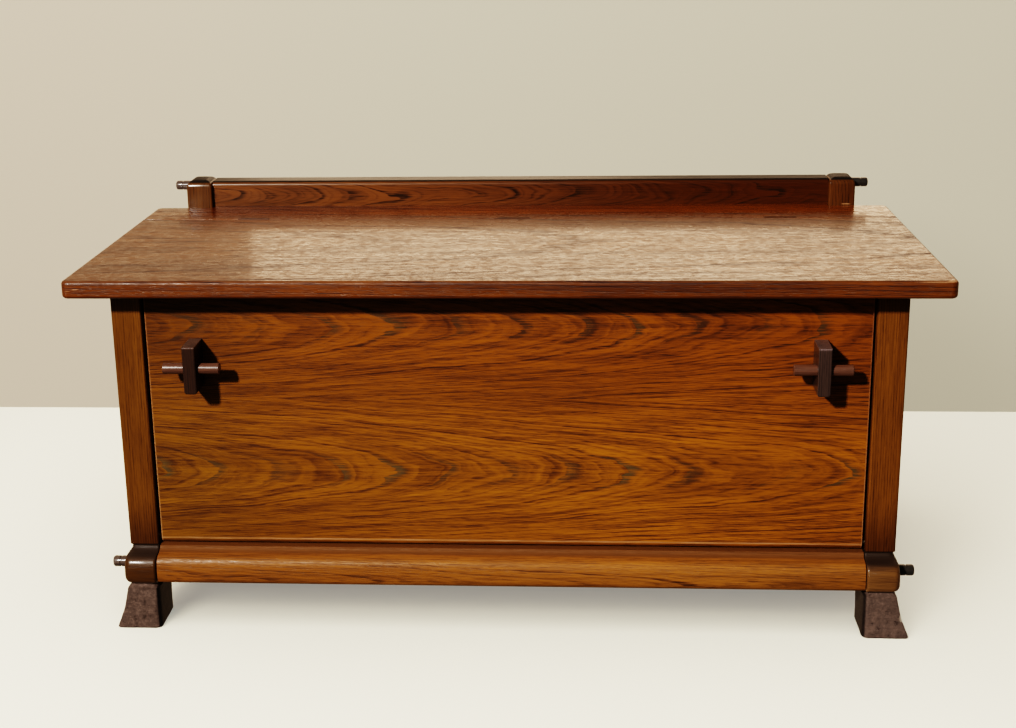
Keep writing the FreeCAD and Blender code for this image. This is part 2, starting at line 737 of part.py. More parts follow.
def make_foot(label, front, is_front):
    """A foot with a plumb front, a splayed outer side and a shadow neck under the block."""
    inner = BLOCK_INNER - mm.foot_inner_lap
    body = new_body(label, (inner, front, 0))
    height = mm.foot_height - mm.foot_neck_height
    profile = [(0, 0), (mm.foot_top_width + mm.foot_flare, 0),
               (mm.foot_top_width, height), (0, height)]
    plane, offset = across("y", (0, BLOCK_DEPTH, 0))
    sketch = outline(body, "splay", plane, profile, offset)
    extrude(body, "Pad", "splay", sketch, BLOCK_DEPTH)
    ease(body, "inner_corners", mm.foot_inner_radius, {"x": 0, "y": 0}, {"x": 0, "y": BLOCK_DEPTH})
    ease(body, "sole", mm.foot_arris, {"z": 0})
    neck = mm.foot_neck_inset
    add_box(body, "neck", (neck, neck, height),
            (mm.foot_top_width - neck * 2, BLOCK_DEPTH - neck * 2, mm.foot_neck_height))
    dowel_y = mm.foot_dowel_inset if is_front else BLOCK_DEPTH - mm.foot_dowel_inset
    dowel_x = BLOCK_INNER + (BLOCK_OUTER - BLOCK_INNER) / 2 - inner
    depth = mm.foot_dowel_length / 2
    cut_bore(body, "dowel_bore", "z", (dowel_x, dowel_y, mm.foot_height - depth),
             mm.foot_dowel_diameter + mm.running_play * 2, depth)
    return body


def make_foot_dowels():
    solids = []
    middle = BLOCK_INNER + (BLOCK_OUTER - BLOCK_INNER) / 2
    rows = {"front": BLOCK_FRONT + mm.foot_dowel_inset,
            "rear": REAR_BLOCK_BACK - mm.foot_dowel_inset}
    for row, depth in rows.items():
        for side, place in mirrored_x(middle).items():
            start = (place, depth, mm.foot_height - mm.foot_dowel_length / 2)
            solids.append(cylinder(f"foot_dowel_{row}_{side}", "z", start,
                                   mm.foot_dowel_diameter / 2, mm.foot_dowel_length))
    group("foot_dowels", solids)


def make_pin(label, face, depth, height, diameter):
    """A turned pin: a shank let in through the joint, a head outside, and a ring near its end."""
    body = new_body(label, (face - mm.pin_shank_length, depth, height))
    shank = mm.pin_shank_diameter / 2
    head = diameter / 2
    shoulder = mm.pin_shank_length
    end = shoulder + mm.pin_reach
    ring = end - mm.pin_end_length - mm.pin_ring_width
    groove = head - mm.pin_ring_depth
    profile = [(0, 0), (end, 0), (end, head - mm.pin_end_chamfer), (end - mm.pin_end_chamfer, head),
               (ring + mm.pin_ring_width, head), (ring + mm.pin_ring_width, groove), (ring, groove),
               (ring, head), (shoulder, head), (shoulder, shank), (0, shank)]
    return turn(body, profile)


# Base rails. The front one carries the ledge and collar that run on from the blocks.


def tenoned(body, name, length, tenon):
    """Adds a tenon that runs out at both ends of a rail, given the rail's long axis."""
    corner, lengths = tenon
    reach = mm.tenon_length
    if name == "x":
        add_box(body, "tenons", (-reach, corner[0], corner[1]),
                (length + reach * 2, lengths[0], lengths[1]))
    else:
        add_box(body, "tenons", (corner[0], -reach, corner[1]),
                (lengths[0], length + reach * 2, lengths[1]))


def bore_rail_ends(body, length, y, z):
    """The holes at both ends of a rail that take the shanks of the pins."""
    outside = mm.pin_shank_length - (BLOCK_OUTER - BLOCK_INNER)
    reach = mm.tenon_length
    depth = outside + reach
    diameter = mm.pin_shank_diameter + mm.running_play * 2
    cut_bore(body, "left_bore", "x", (-reach, y, z), diameter, depth)
    cut_bore(body, "right_bore", "x", (length - outside, y, z), diameter, depth)


def make_base_front_rail():
    length = BLOCK_INNER * 2
    front = BLOCK_FRONT + mm.rail_setback
    depth = POST_BACK - front
    body = new_body("base_rail_front", (-BLOCK_INNER, front, mm.foot_height))
    collar = FLAP_FRONT - mm.rail_collar_lead - front
    top = mm.ledge_rise + mm.collar_rise
    profile = [(0, 0), (depth, 0), (depth, top), (collar, top), (collar, mm.ledge_rise),
               (0, mm.ledge_rise)]
    sketch = outline(body, "moulding", "YZ_Plane", profile, (0, 0, 0))
    extrude(body, "Pad", "moulding", sketch, length)
    ease(body, "cove", mm.rail_cove, {"y": collar, "z": mm.ledge_rise})
    ease(body, "nose", mm.rail_top_radius, {"y": 0, "z": mm.ledge_rise})
    ease(body, "underside", mm.rail_bottom_radius, {"y": 0, "z": 0})
    ease(body, "collar_arris", mm.rail_arris, {"y": collar, "z": top})
    tenon_y = base_tenon_y(BLOCK_FRONT) - front
    tenoned(body, "x", length, ((tenon_y, base_tenon_z() - mm.foot_height),
                                (mm.base_tenon_thickness, mm.base_tenon_height)))
    bore_rail_ends(body, length, BLOCK_FRONT + BLOCK_DEPTH / 2 - front,
                   BASE_PIN_HEIGHT - mm.foot_height)
    return body


def make_base_rear_rail():
    length = BLOCK_INNER * 2
    depth = REAR_BLOCK_BACK - mm.rail_setback - REAR_BLOCK_FRONT
    body = new_body("base_rail_rear", (-BLOCK_INNER, REAR_BLOCK_FRONT, mm.foot_height))
    top = mm.ledge_rise + mm.collar_rise
    add_box(body, "stock", (0, 0, 0), (length, depth, top))
    ease(body, "arrises", mm.rail_arris, {"y": depth, "z": 0}, {"y": depth, "z": top})
    tenoned(body, "x", length,
            ((base_tenon_y(REAR_BLOCK_FRONT) - REAR_BLOCK_FRONT, base_tenon_z() - mm.foot_height),
             (mm.base_tenon_thickness, mm.base_tenon_height)))
    bore_rail_ends(body, length, BLOCK_DEPTH / 2, BASE_PIN_HEIGHT - mm.foot_height)
    slot = mm.back_panel_thickness + mm.tenon_play * 2
    cut_box(body, "panel_groove",
            (0, BACK_PANEL_FRONT - mm.tenon_play - REAR_BLOCK_FRONT, top - mm.groove_depth),
            (length, slot, mm.groove_depth))
    return body


def make_base_side_rail():
    outer = BLOCK_OUTER - mm.rail_setback
    inner = outer - mm.base_side_rail_width
    length = REAR_BLOCK_FRONT - POST_BACK
    body = new_body("base_rail_right", (inner, POST_BACK, mm.foot_height))
    width = mm.base_side_rail_width
    top = mm.ledge_rise + mm.collar_rise
    collar = POST_OUTER - mm.side_collar_inset - inner
    profile = [(0, 0), (width, 0), (width, mm.ledge_rise), (collar, mm.ledge_rise), (collar, top),
               (0, top)]
    plane, offset = across("y", (0, length, 0))
    sketch = outline(body, "moulding", plane, profile, offset)
    extrude(body, "Pad", "moulding", sketch, length)
    ease(body, "underside", mm.rail_bottom_radius, {"x": width, "z": 0})
    ease(body, "nose", mm.rail_arris, {"x": width, "z": mm.ledge_rise}, {"x": collar, "z": top})
    ease(body, "cove", mm.collar_cove, {"x": collar, "z": mm.ledge_rise})
    tenoned(body, "y", length, ((side_tenon_x() - inner, base_tenon_z() - mm.foot_height),
                                (mm.base_tenon_thickness, mm.base_tenon_height)))
    slot = mm.panel_thickness + mm.tenon_play * 2
    cut_box(body, "panel_groove", (PANEL_INNER - mm.tenon_play - inner, 0, top - mm.groove_depth),
            (slot, length, mm.groove_depth))
    return body


# Rails under the top, the gallery rail, the panels and the bottom.


def case_rail_tenon(thickness):
    height = mm.case_rail_height - TENON_SHOULDER * 2
    return (TENON_SHOULDER, (thickness, height))


def make_header():
    """The rail under the front of the lid, which the flap closes against."""
    length = POST_INNER * 2
    body = new_body("header_rail", (-POST_INNER, HEADER_FRONT, CASE_RAIL_BOTTOM))
    add_box(body, "stock", (0, 0, 0), (length, mm.case_rail_thickness, mm.case_rail_height))
    ease(body, "arrises", mm.rail_arris, {"y": 0, "z": 0},
         {"y": mm.case_rail_thickness, "z": 0})
    shoulder, lengths = case_rail_tenon(mm.panel_thickness)
    tenoned(body, "x", length, ((header_tenon_shoulder(), shoulder), lengths))
    for side, place in mirrored_x(CATCH_X).items():
        cut_bore(body, f"magnet_{side}", "y", (POST_INNER + place, 0, CATCH_Z - CASE_RAIL_BOTTOM),
                 mm.magnet_diameter + mm.running_play * 2, mm.magnet_length)
    return body


def make_rear_rail():
    length = POST_INNER * 2
    front = BACK_PANEL_CENTRE - mm.case_rail_thickness / 2
    body = new_body("top_rail_rear", (-POST_INNER, front, CASE_RAIL_BOTTOM))
    add_box(body, "stock", (0, 0, 0), (length, mm.case_rail_thickness, mm.case_rail_height))
    shoulder, lengths = case_rail_tenon(mm.back_panel_thickness)
    tenoned(body, "x", length, ((BACK_PANEL_FRONT - front, shoulder), lengths))
    slot = mm.back_panel_thickness + mm.tenon_play * 2
    cut_box(body, "panel_groove", (0, BACK_PANEL_FRONT - mm.tenon_play - front, 0),
            (length, slot, mm.groove_depth))
    return body


def make_side_rail():
    length = REAR_POST_FRONT - POST_BACK
    inner = PANEL_CENTRE - mm.case_rail_thickness / 2
    body = new_body("top_rail_right", (inner, POST_BACK, CASE_RAIL_BOTTOM))
    add_box(body, "stock", (0, 0, 0), (mm.case_rail_thickness, length, mm.case_rail_height))
    ease(body, "arrises", mm.rail_arris, {"x": mm.case_rail_thickness, "z": 0}, {"x": 0, "z": 0})
    shoulder, lengths = case_rail_tenon(mm.panel_thickness)
    tenoned(body, "y", length, ((PANEL_INNER - inner, shoulder), lengths))
    slot = mm.panel_thickness + mm.tenon_play * 2
    cut_box(body, "panel_groove", (PANEL_INNER - mm.tenon_play - inner, 0, 0),
            (slot, length, mm.groove_depth))
    return body


def make_gallery_rail():
    length = POST_INNER * 2
    height = GALLERY_TOP - TOP_UNDER
    body = new_body("gallery_rail", (-POST_INNER, GALLERY_FRONT, TOP_UNDER))
    add_box(body, "stock", (0, 0, 0), (length, GALLERY_THICKNESS, height))
    ease(body, "arrises", mm.gallery_arris, {"y": 0, "z": height},
         {"y": GALLERY_THICKNESS, "z": height})
    tenon = GALLERY_THICKNESS / 2
    tenoned(body, "x", length, ((tenon / 2, GALLERY_TENON_BOTTOM - TOP_UNDER),
                                (tenon, GALLERY_TENON_HEIGHT)))
    outside = mm.pin_shank_length - mm.post_width
    diameter = mm.pin_shank_diameter + mm.running_play * 2
    pin_y = GALLERY_PIN_Y - GALLERY_FRONT
    pin_z = GALLERY_PIN_Z - TOP_UNDER
    cut_bore(body, "left_bore", "x", (-mm.tenon_length, pin_y, pin_z), diameter,
             mm.tenon_length + outside)
    cut_bore(body, "right_bore", "x", (length - outside, pin_y, pin_z), diameter,
             mm.tenon_length + outside)
    return body


def make_panels():
    reach = mm.groove_depth - mm.groove_play
    bottom = BLOCK_TOP - mm.groove_depth
    height = CASE_RAIL_BOTTOM + reach - bottom
    side = new_body("side_panel_right", (PANEL_INNER, POST_BACK - reach, bottom))
    add_box(side, "board", (0, 0, 0),
            (mm.panel_thickness, REAR_POST_FRONT + reach - POST_BACK + reach, height))
    notch = mm.groove_depth
    for place, corner in {"front": 0, "rear": REAR_POST_FRONT + reach - POST_BACK}.items():
        cut_box(side, f"{place}_notch", (0, corner, 0), (mm.panel_thickness, reach, notch))
    rear_notch = REAR_POST_FRONT - REAR_BLOCK_FRONT
    cut_box(side, "block_notch", (0, REAR_BLOCK_FRONT - POST_BACK + reach, 0),
            (mm.panel_thickness, rear_notch, notch))
    mirror("side_panel_left", side)
    back = new_body("back_panel", (-POST_INNER - reach, BACK_PANEL_FRONT, bottom))
    add_box(back, "board", (0, 0, 0),
            (POST_INNER * 2 + reach * 2, mm.back_panel_thickness, height))
    for place, corner in {"left": 0, "right": POST_INNER + BLOCK_INNER + reach}.items():
        cut_box(back, f"{place}_notch", (corner, 0, 0),
                (reach + mm.block_lap, mm.back_panel_thickness, notch))
    inside = POST_INNER - mm.bottom_play
    floor = new_body("bottom_board", (-inside, HEADER_FRONT, BLOCK_TOP))
    add_box(floor, "board", (0, 0, 0),
            (inside * 2, BACK_PANEL_FRONT - mm.bottom_play - HEADER_FRONT, mm.bottom_thickness))
    ease(floor, "front_arris", mm.rail_arris, {"y": 0, "z": mm.bottom_thickness})


# The top: a fixed strip at the back, and the lid that is hinged to it.


def make_strip():
    body = new_body("strip_blank", (-HALF_TOP, STRIP_FRONT, TOP_UNDER), finished=False)
    depth = REAR_POST_FRONT - STRIP_FRONT
    add_box(body, "board", (0, 0, 0), (mm.top_width, depth, mm.top_thickness))
    ease(body, "corners", mm.top_corner_radius, {"x": 0, "y": depth},
         {"x": mm.top_width, "y": depth})
    ease(body, "arrises", mm.top_arris_radius, {"x": 0, "z": 0},
         {"x": mm.top_width, "z": 0}, {"x": 0, "z": mm.top_thickness},
         {"x": mm.top_width, "z": mm.top_thickness})
    ease(body, "joint", mm.lid_joint_arris, {"y": 0, "z": mm.top_thickness})
    tongue = POST_INNER - mm.bottom_play
    add_box(body, "tongue", (HALF_TOP - tongue, depth - mm.top_arris_radius, 0),
            (tongue * 2, mm.gallery_setback + mm.top_arris_radius, mm.top_thickness))
    tools = hinge_housings("strip") + hinge_screws("strip", "wood_hole", mm.running_play)
    keep("top_strip", cut("top_strip", body, fuse("strip_tools", tools)))


def make_lid():
    body = new_body("lid_blank", (-HALF_TOP, FRONT, LID_UNDER), finished=False)
    depth = LID_BACK - FRONT
    thickness = mm.top_height - LID_UNDER
    add_box(body, "board", (0, 0, 0), (mm.top_width, depth, thickness))
    ease(body, "corners", mm.top_corner_radius, {"x": 0, "y": 0}, {"x": mm.top_width, "y": 0})
    ease(body, "arrises", mm.top_arris_radius, {"y": 0, "z": 0}, {"y": 0, "z": thickness})
    ease(body, "joint", mm.lid_joint_arris, {"y": depth, "z": thickness})
    tools = hinge_housings("lid") + hinge_screws("lid", "wood_hole", mm.running_play)
    for side, place in mirrored_x(BATTEN_X).items():
        tools += batten_screws(f"lid_hole_{side}", place, mm.running_play)
    keep("lid_board", cut("lid_board", body, fuse("lid_tools", tools)))


def batten_places(side_place):
    """Where the screws of a batten stand, from its front end to its back end."""
    front = FRONT + mm.batten_front_inset + mm.batten_screw_inset
    back = LID_BACK - mm.batten_rear_inset - mm.batten_screw_inset
    middle = (front + back) / 2
    return {"front": (side_place, front), "middle": (side_place, middle), "back": (side_place, back)}


def batten_screws(name, side_place, play=0):
    screws = []
    for order, (place, depth) in batten_places(side_place).items():
        start = (place, depth, LID_UNDER - mm.batten_thickness)
        screws.append(screw(f"{name}_{order}", "z", start, mm.long_screw_length, False, play))
    return screws


def make_battens():
    front = FRONT + mm.batten_front_inset
    length = LID_BACK - mm.batten_rear_inset - front
    centre = BATTEN_X
    body = new_body("batten_blank", (centre - mm.batten_width / 2, front,
                                     LID_UNDER - mm.batten_thickness), finished=False)
    add_box(body, "stock", (0, 0, 0), (mm.batten_width, length, mm.batten_thickness))
    ease(body, "arrises", mm.batten_arris, {"x": 0, "z": 0}, {"x": mm.batten_width, "z": 0},
         {"y": 0, "z": 0}, {"y": length, "z": 0})
    holes = fuse("batten_holes", batten_screws("batten_hole", centre, mm.running_play))
    right = keep("lid_batten_right", cut("lid_batten_right", body, holes))
    mirror("lid_batten_left", right)
    screws = []
    for side, place in mirrored_x(centre).items():
        screws += batten_screws(f"batten_screw_{side}", place)
    group("batten_screws", screws)


def make_hinges():
    hinge_leaves("strip")
    hinge_leaves("lid")
    group("hinge_screws_strip", hinge_screws("strip", "screw"))
    group("hinge_screws_lid", hinge_screws("lid", "screw"))
    pins = []
    for hinge, centre in HINGE_CENTRES.items():
        start = (centre - mm.hinge_length / 2, LID_AXIS_Y, mm.top_height)
        pins.append(cylinder(f"hinge_pin_{hinge}", "x", start, mm.hinge_pin_radius, mm.hinge_length))
    group("hinge_pins", pins)


# The fall flap, its pulls, pivots and catches.


def handle_screws(name, side_place, play=0):
    screws = []
    heights = {"upper": HANDLE_Z + mm.handle_screw_spread,
               "lower": HANDLE_Z - mm.handle_screw_spread}
    for order, height in heights.items():
        start = (side_place, FLAP_BACK, height)
        screws.append(screw(f"{name}_{order}", "y", start, mm.long_screw_length, True, play))
    return screws


def make_flap():
    """A board with a half-round foot about its pivots, so that it turns clear of the ledge."""
    body = new_body("flap_blank", (-FLAP_HALF, FLAP_FRONT, FLAP_AXIS_Z), finished=False)
    width = FLAP_HALF * 2
    height = FLAP_TOP - FLAP_AXIS_Z
    add_box(body, "board", (0, 0, 0), (width, mm.flap_thickness, height))
    add_rod(body, "half_round", "x", (0, mm.flap_thickness / 2, 0), mm.flap_thickness, width)
    ease(body, "front_arris", mm.flap_arris, {"x": 0, "y": 0}, {"x": width, "y": 0},
         {"y": 0, "z": height})
    depth = mm.flap_pin_depth
    cut_bore(body, "left_pivot", "x", (0, mm.flap_thickness / 2, 0), mm.flap_pin_diameter, depth)
    cut_bore(body, "right_pivot", "x", (width - depth, mm.flap_thickness / 2, 0),
             mm.flap_pin_diameter, depth)
    for side, place in mirrored_x(CATCH_X).items():
        cut_bore(body, f"keeper_{side}", "y",
                 (FLAP_HALF + place, mm.flap_thickness - mm.keeper_thickness, CATCH_Z - FLAP_AXIS_Z),
                 mm.keeper_diameter + mm.running_play * 2, mm.keeper_thickness)
    holes = []
    for side, place in mirrored_x(HANDLE_X).items():
        holes += handle_screws(f"flap_hole_{side}", place, mm.running_play)
    keep("flap_board", cut("flap_board", body, fuse("flap_holes", holes)))


def make_handles():
    """A pull is an upright bar with a round dowel through it."""
    centre = HANDLE_X
    front = FLAP_FRONT - mm.handle_reach
    bottom = HANDLE_Z - mm.handle_height / 2
    body = new_body("handle_blank", (centre - mm.handle_width / 2, front, bottom), finished=False)
    width = mm.handle_width
    height = mm.handle_height
    add_box(body, "stock", (0, 0, 0), (width, mm.handle_reach, height))
    ease(body, "toe", mm.handle_toe_radius, {"x": 0, "z": 0}, {"x": width, "z": 0})
    ease(body, "arrises", mm.handle_arris, {"y": 0})
    dowel_y = mm.handle_reach - mm.handle_dowel_standoff
    cut_bore(body, "dowel_bore", "x", (0, dowel_y, height / 2),
             mm.handle_dowel_diameter + mm.running_play * 2, width)
    holes = fuse("handle_holes", handle_screws("handle_hole", centre, mm.running_play))
    bar = keep("handle_bar_right", cut("handle_bar_right", body, holes))
    mirror("handle_bar_left", bar)
    length = mm.handle_dowel_length
    radius = mm.handle_dowel_diameter / 2
    chamfer = mm.handle_dowel_chamfer
    dowel = new_body("handle_dowel_right", (centre - length / 2, front + dowel_y,
                                            HANDLE_Z))
    turn(dowel, [(0, 0), (length, 0), (length, radius - chamfer), (length - chamfer, radius),
                 (chamfer, radius), (0, radius - chamfer)])
    mirror("handle_dowel_left", dowel)
    screws = []
    for side, place in mirrored_x(centre).items():
        screws += handle_screws(f"handle_screw_{side}", place)
    group("handle_screws", screws)


def make_flap_hardware():
    """Pivot pins in the ends of the flap, their bushes in the posts, and the catches."""
    pins = []
    bushes = []
    radius = mm.flap_pin_diameter / 2
    pin_length = mm.flap_pin_depth + mm.flap_pin_reach
    starts = {"right": (FLAP_HALF - mm.flap_pin_depth, POST_INNER),
              "left": (-FLAP_HALF - mm.flap_pin_reach, -POST_INNER - mm.flap_bush_length)}
    for side, (pin_x, bush_x) in starts.items():
        pins.append(cylinder(f"flap_pin_{side}", "x", (pin_x, FLAP_AXIS_Y, FLAP_AXIS_Z),
                             radius, pin_length))
        outside = cylinder(f"bush_body_{side}", "x", (bush_x, FLAP_AXIS_Y, FLAP_AXIS_Z),
                           radius + mm.flap_bush_wall, mm.flap_bush_length)
        inside = cylinder(f"bush_bore_{side}", "x", (bush_x, FLAP_AXIS_Y, FLAP_AXIS_Z),
                          radius + mm.running_play, mm.flap_bush_length)
        bushes.append(cut(f"bush_{side}", outside, inside))
    group("flap_pins", pins)
    group("flap_bushes", bushes)
    magnets = []
    keepers = []
    for side, place in mirrored_x(CATCH_X).items():
        magnets.append(cylinder(f"magnet_{side}", "y", (place, HEADER_FRONT, CATCH_Z),
                                mm.magnet_diameter / 2, mm.magnet_length))
        keepers.append(cylinder(f"keeper_{side}", "y",
                                (place, FLAP_BACK - mm.keeper_thickness, CATCH_Z),
                                mm.keeper_diameter / 2, mm.keeper_thickness))
    group("catch_magnets", magnets)
    group("catch_keepers", keepers)


def make_base():
    mirror("corner_block_front_left", make_block("corner_block_front_right", BLOCK_FRONT, True))
    mirror("corner_block_rear_left", make_block("corner_block_rear_right", REAR_BLOCK_FRONT, False))
    mirror("foot_front_left", make_foot("foot_front_right", BLOCK_FRONT, True))
    mirror("foot_rear_left", make_foot("foot_rear_right", REAR_BLOCK_FRONT, False))
    make_foot_dowels()
    middle = BLOCK_DEPTH / 2
    for row, depth in {"front": BLOCK_FRONT + middle, "rear": REAR_BLOCK_FRONT + middle}.items():
        pin = make_pin(f"base_pin_{row}_right", BLOCK_OUTER, depth, BASE_PIN_HEIGHT,
                       mm.base_pin_diameter)
        mirror(f"base_pin_{row}_left", pin)
    make_base_front_rail()
    make_base_rear_rail()
    mirror("base_rail_left", make_base_side_rail())


def make_case():
    mirror("front_post_left", make_front_post())
    mirror("rear_post_left", make_rear_post())
    make_header()
    make_rear_rail()
    mirror("top_rail_left", make_side_rail())
    make_gallery_rail()
    pin = make_pin("gallery_pin_right", POST_OUTER, GALLERY_PIN_Y, GALLERY_PIN_Z,
                   mm.gallery_pin_diameter)
    mirror("gallery_pin_left", pin)
    make_panels()


def check():
    """Stops before anything is written if an object failed or a shape is not sound."""
    DOCUMENT.recompute()
    for thing in DOCUMENT.Objects:
        if "Invalid" in thing.State or "Error" in thing.State:
            raise ValueError(f"{thing.Label} failed: {thing.State}")
    for label, thing in PARTS.items():
        if thing.Shape.isNull() or not thing.Shape.isValid():
            raise ValueError(f"{label} has no sound shape")
        if thing.Shape.Volume <= 0 or not thing.Shape.Solids:
            raise ValueError(f"{label} has no solid")


def write():
    os.makedirs("parts", exist_ok=True)
    for label, thing in PARTS.items():
        thing.Shape.exportStep(f"parts/{label}.step")
        print(label, len(thing.Shape.Solids), round(thing.Shape.Volume))


make_base()
make_case()
make_strip()
make_lid()
make_battens()
make_hinges()
make_flap()
make_handles()
make_flap_hardware()
check()
write()
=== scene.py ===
import json
import math

import bmesh
import bpy
from mathutils import Matrix, Vector


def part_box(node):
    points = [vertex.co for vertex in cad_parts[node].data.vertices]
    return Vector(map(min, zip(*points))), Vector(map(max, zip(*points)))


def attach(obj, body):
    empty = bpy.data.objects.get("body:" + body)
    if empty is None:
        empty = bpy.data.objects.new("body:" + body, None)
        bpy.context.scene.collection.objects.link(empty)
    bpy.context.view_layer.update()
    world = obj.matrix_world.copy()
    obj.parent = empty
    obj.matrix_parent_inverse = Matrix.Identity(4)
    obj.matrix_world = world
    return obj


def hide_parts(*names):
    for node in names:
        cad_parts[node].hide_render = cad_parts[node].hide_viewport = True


# A low oak chest on a moulded base. Metres; +Z up, the front towards -Y.

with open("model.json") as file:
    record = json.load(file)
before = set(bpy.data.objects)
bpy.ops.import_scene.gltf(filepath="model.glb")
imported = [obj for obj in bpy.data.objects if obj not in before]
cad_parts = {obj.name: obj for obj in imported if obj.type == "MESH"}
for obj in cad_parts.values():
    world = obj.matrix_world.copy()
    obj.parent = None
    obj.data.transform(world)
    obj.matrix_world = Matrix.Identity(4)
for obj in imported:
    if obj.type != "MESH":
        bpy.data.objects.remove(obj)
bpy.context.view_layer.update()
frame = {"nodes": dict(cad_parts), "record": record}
NODES = frame["nodes"]

# Shader maths.


class Flow:
    """A node socket whose operators add the Math nodes that they stand for."""

    def __init__(self, sheet, socket):
        self.sheet = sheet
        self.socket = socket

    def maths(self, operation, *inputs):
        return self.sheet.node("ShaderNodeMath", {"operation": operation}, dict(enumerate(inputs)))

    def __add__(self, other):
        return self.maths("ADD", self, other)

    __radd__ = __add__

    def __sub__(self, other):
        return self.maths("SUBTRACT", self, other)

    def __rsub__(self, other):
        return self.maths("SUBTRACT", other, self)

    def __mul__(self, other):
        return self.maths("MULTIPLY", self, other)

    __rmul__ = __mul__

    def __truediv__(self, other):
        return self.maths("DIVIDE", self, other)

    def fraction(self):
        return self.maths("FRACT", self)

    def whole(self):
        return self.maths("FLOOR", self)

    def root(self):
        return self.maths("SQRT", self)

    def size(self):
        return self.maths("ABSOLUTE", self)

    def step(self, low, high):
        """From 0 at low to 1 at high; low may be the larger of the two."""
        return self.sheet.node("ShaderNodeMapRange", {"interpolation_type": "SMOOTHSTEP"},
                               {"Value": self, "From Min": low, "From Max": high})


class Sheet:
    """The node tree of one material, or of the world."""

    def __init__(self, name, owner=None):
        self.owner = owner or bpy.data.materials.new(name)
        self.owner.use_nodes = True
        self.tree = self.owner.node_tree
        self.tree.nodes.clear()

    def node(self, kind, settings=None, inputs=None, output=0):
        """Adds a node: first its settings, then the values or links of its sockets."""
        made = self.tree.nodes.new(kind)
        for name, value in (settings or {}).items():
            setattr(made, name, value)
        for name, value in (inputs or {}).items():
            if isinstance(value, Flow):
                self.tree.links.new(value.socket, made.inputs[name])
            else:
                made.inputs[name].default_value = value
        return Flow(self, made.outputs[output]) if made.outputs else None

    def place(self):
        return self.node("ShaderNodeTexCoord", output="Object")

    def noise(self, vector, stretch, detail=2.0, rough=0.5, seed=0.0):
        vector = self.node("ShaderNodeMapping", None, {
            "Vector": vector, "Scale": stretch, "Location": (seed, seed / 2, seed / 3)})
        return self.node("ShaderNodeTexNoise", None, {
            "Vector": vector, "Scale": 1.0, "Detail": detail, "Roughness": rough})

    def split(self, vector):
        parts = self.node("ShaderNodeSeparateXYZ", None, {"Vector": vector}).socket.node
        return [Flow(self, outlet) for outlet in parts.outputs]

    def mix(self, share, first, second, blend="MIX"):
        settings = {"data_type": "RGBA", "blend_type": blend, "clamp_factor": True}
        return self.node("ShaderNodeMix", settings, {0: share, 6: first, 7: second}, output=2)

    def times(self, colour, factor):
        return self.mix(1.0, colour, flat(factor), "MULTIPLY")

    def finish(self, colour, roughness, height=None, depth=0.0, **constants):
        sockets = {"Base Color": colour, "Roughness": roughness}
        sockets.update({name.replace("_", " "): value for name, value in constants.items()})
        if height is not None:
            sockets["Normal"] = self.node("ShaderNodeBump", None, {
                "Strength": 0.5, "Distance": depth, "Height": height})
        surface = self.node("ShaderNodeBsdfPrincipled", None, sockets)
        self.node("ShaderNodeOutputMaterial", None, {"Surface": surface})
        return self.owner


def flat(colour):
    return (*colour, 1.0)


def tint(colour, share):
    return flat([channel * share for channel in colour])


# What a cloud of darker or lighter wood, and a pale fibre, do to the colour of the board.
DARKER = (0.80, 0.78, 0.75)
LIGHTER = (1.16, 1.16, 1.16)
PALE = (1.40, 1.45, 1.6)


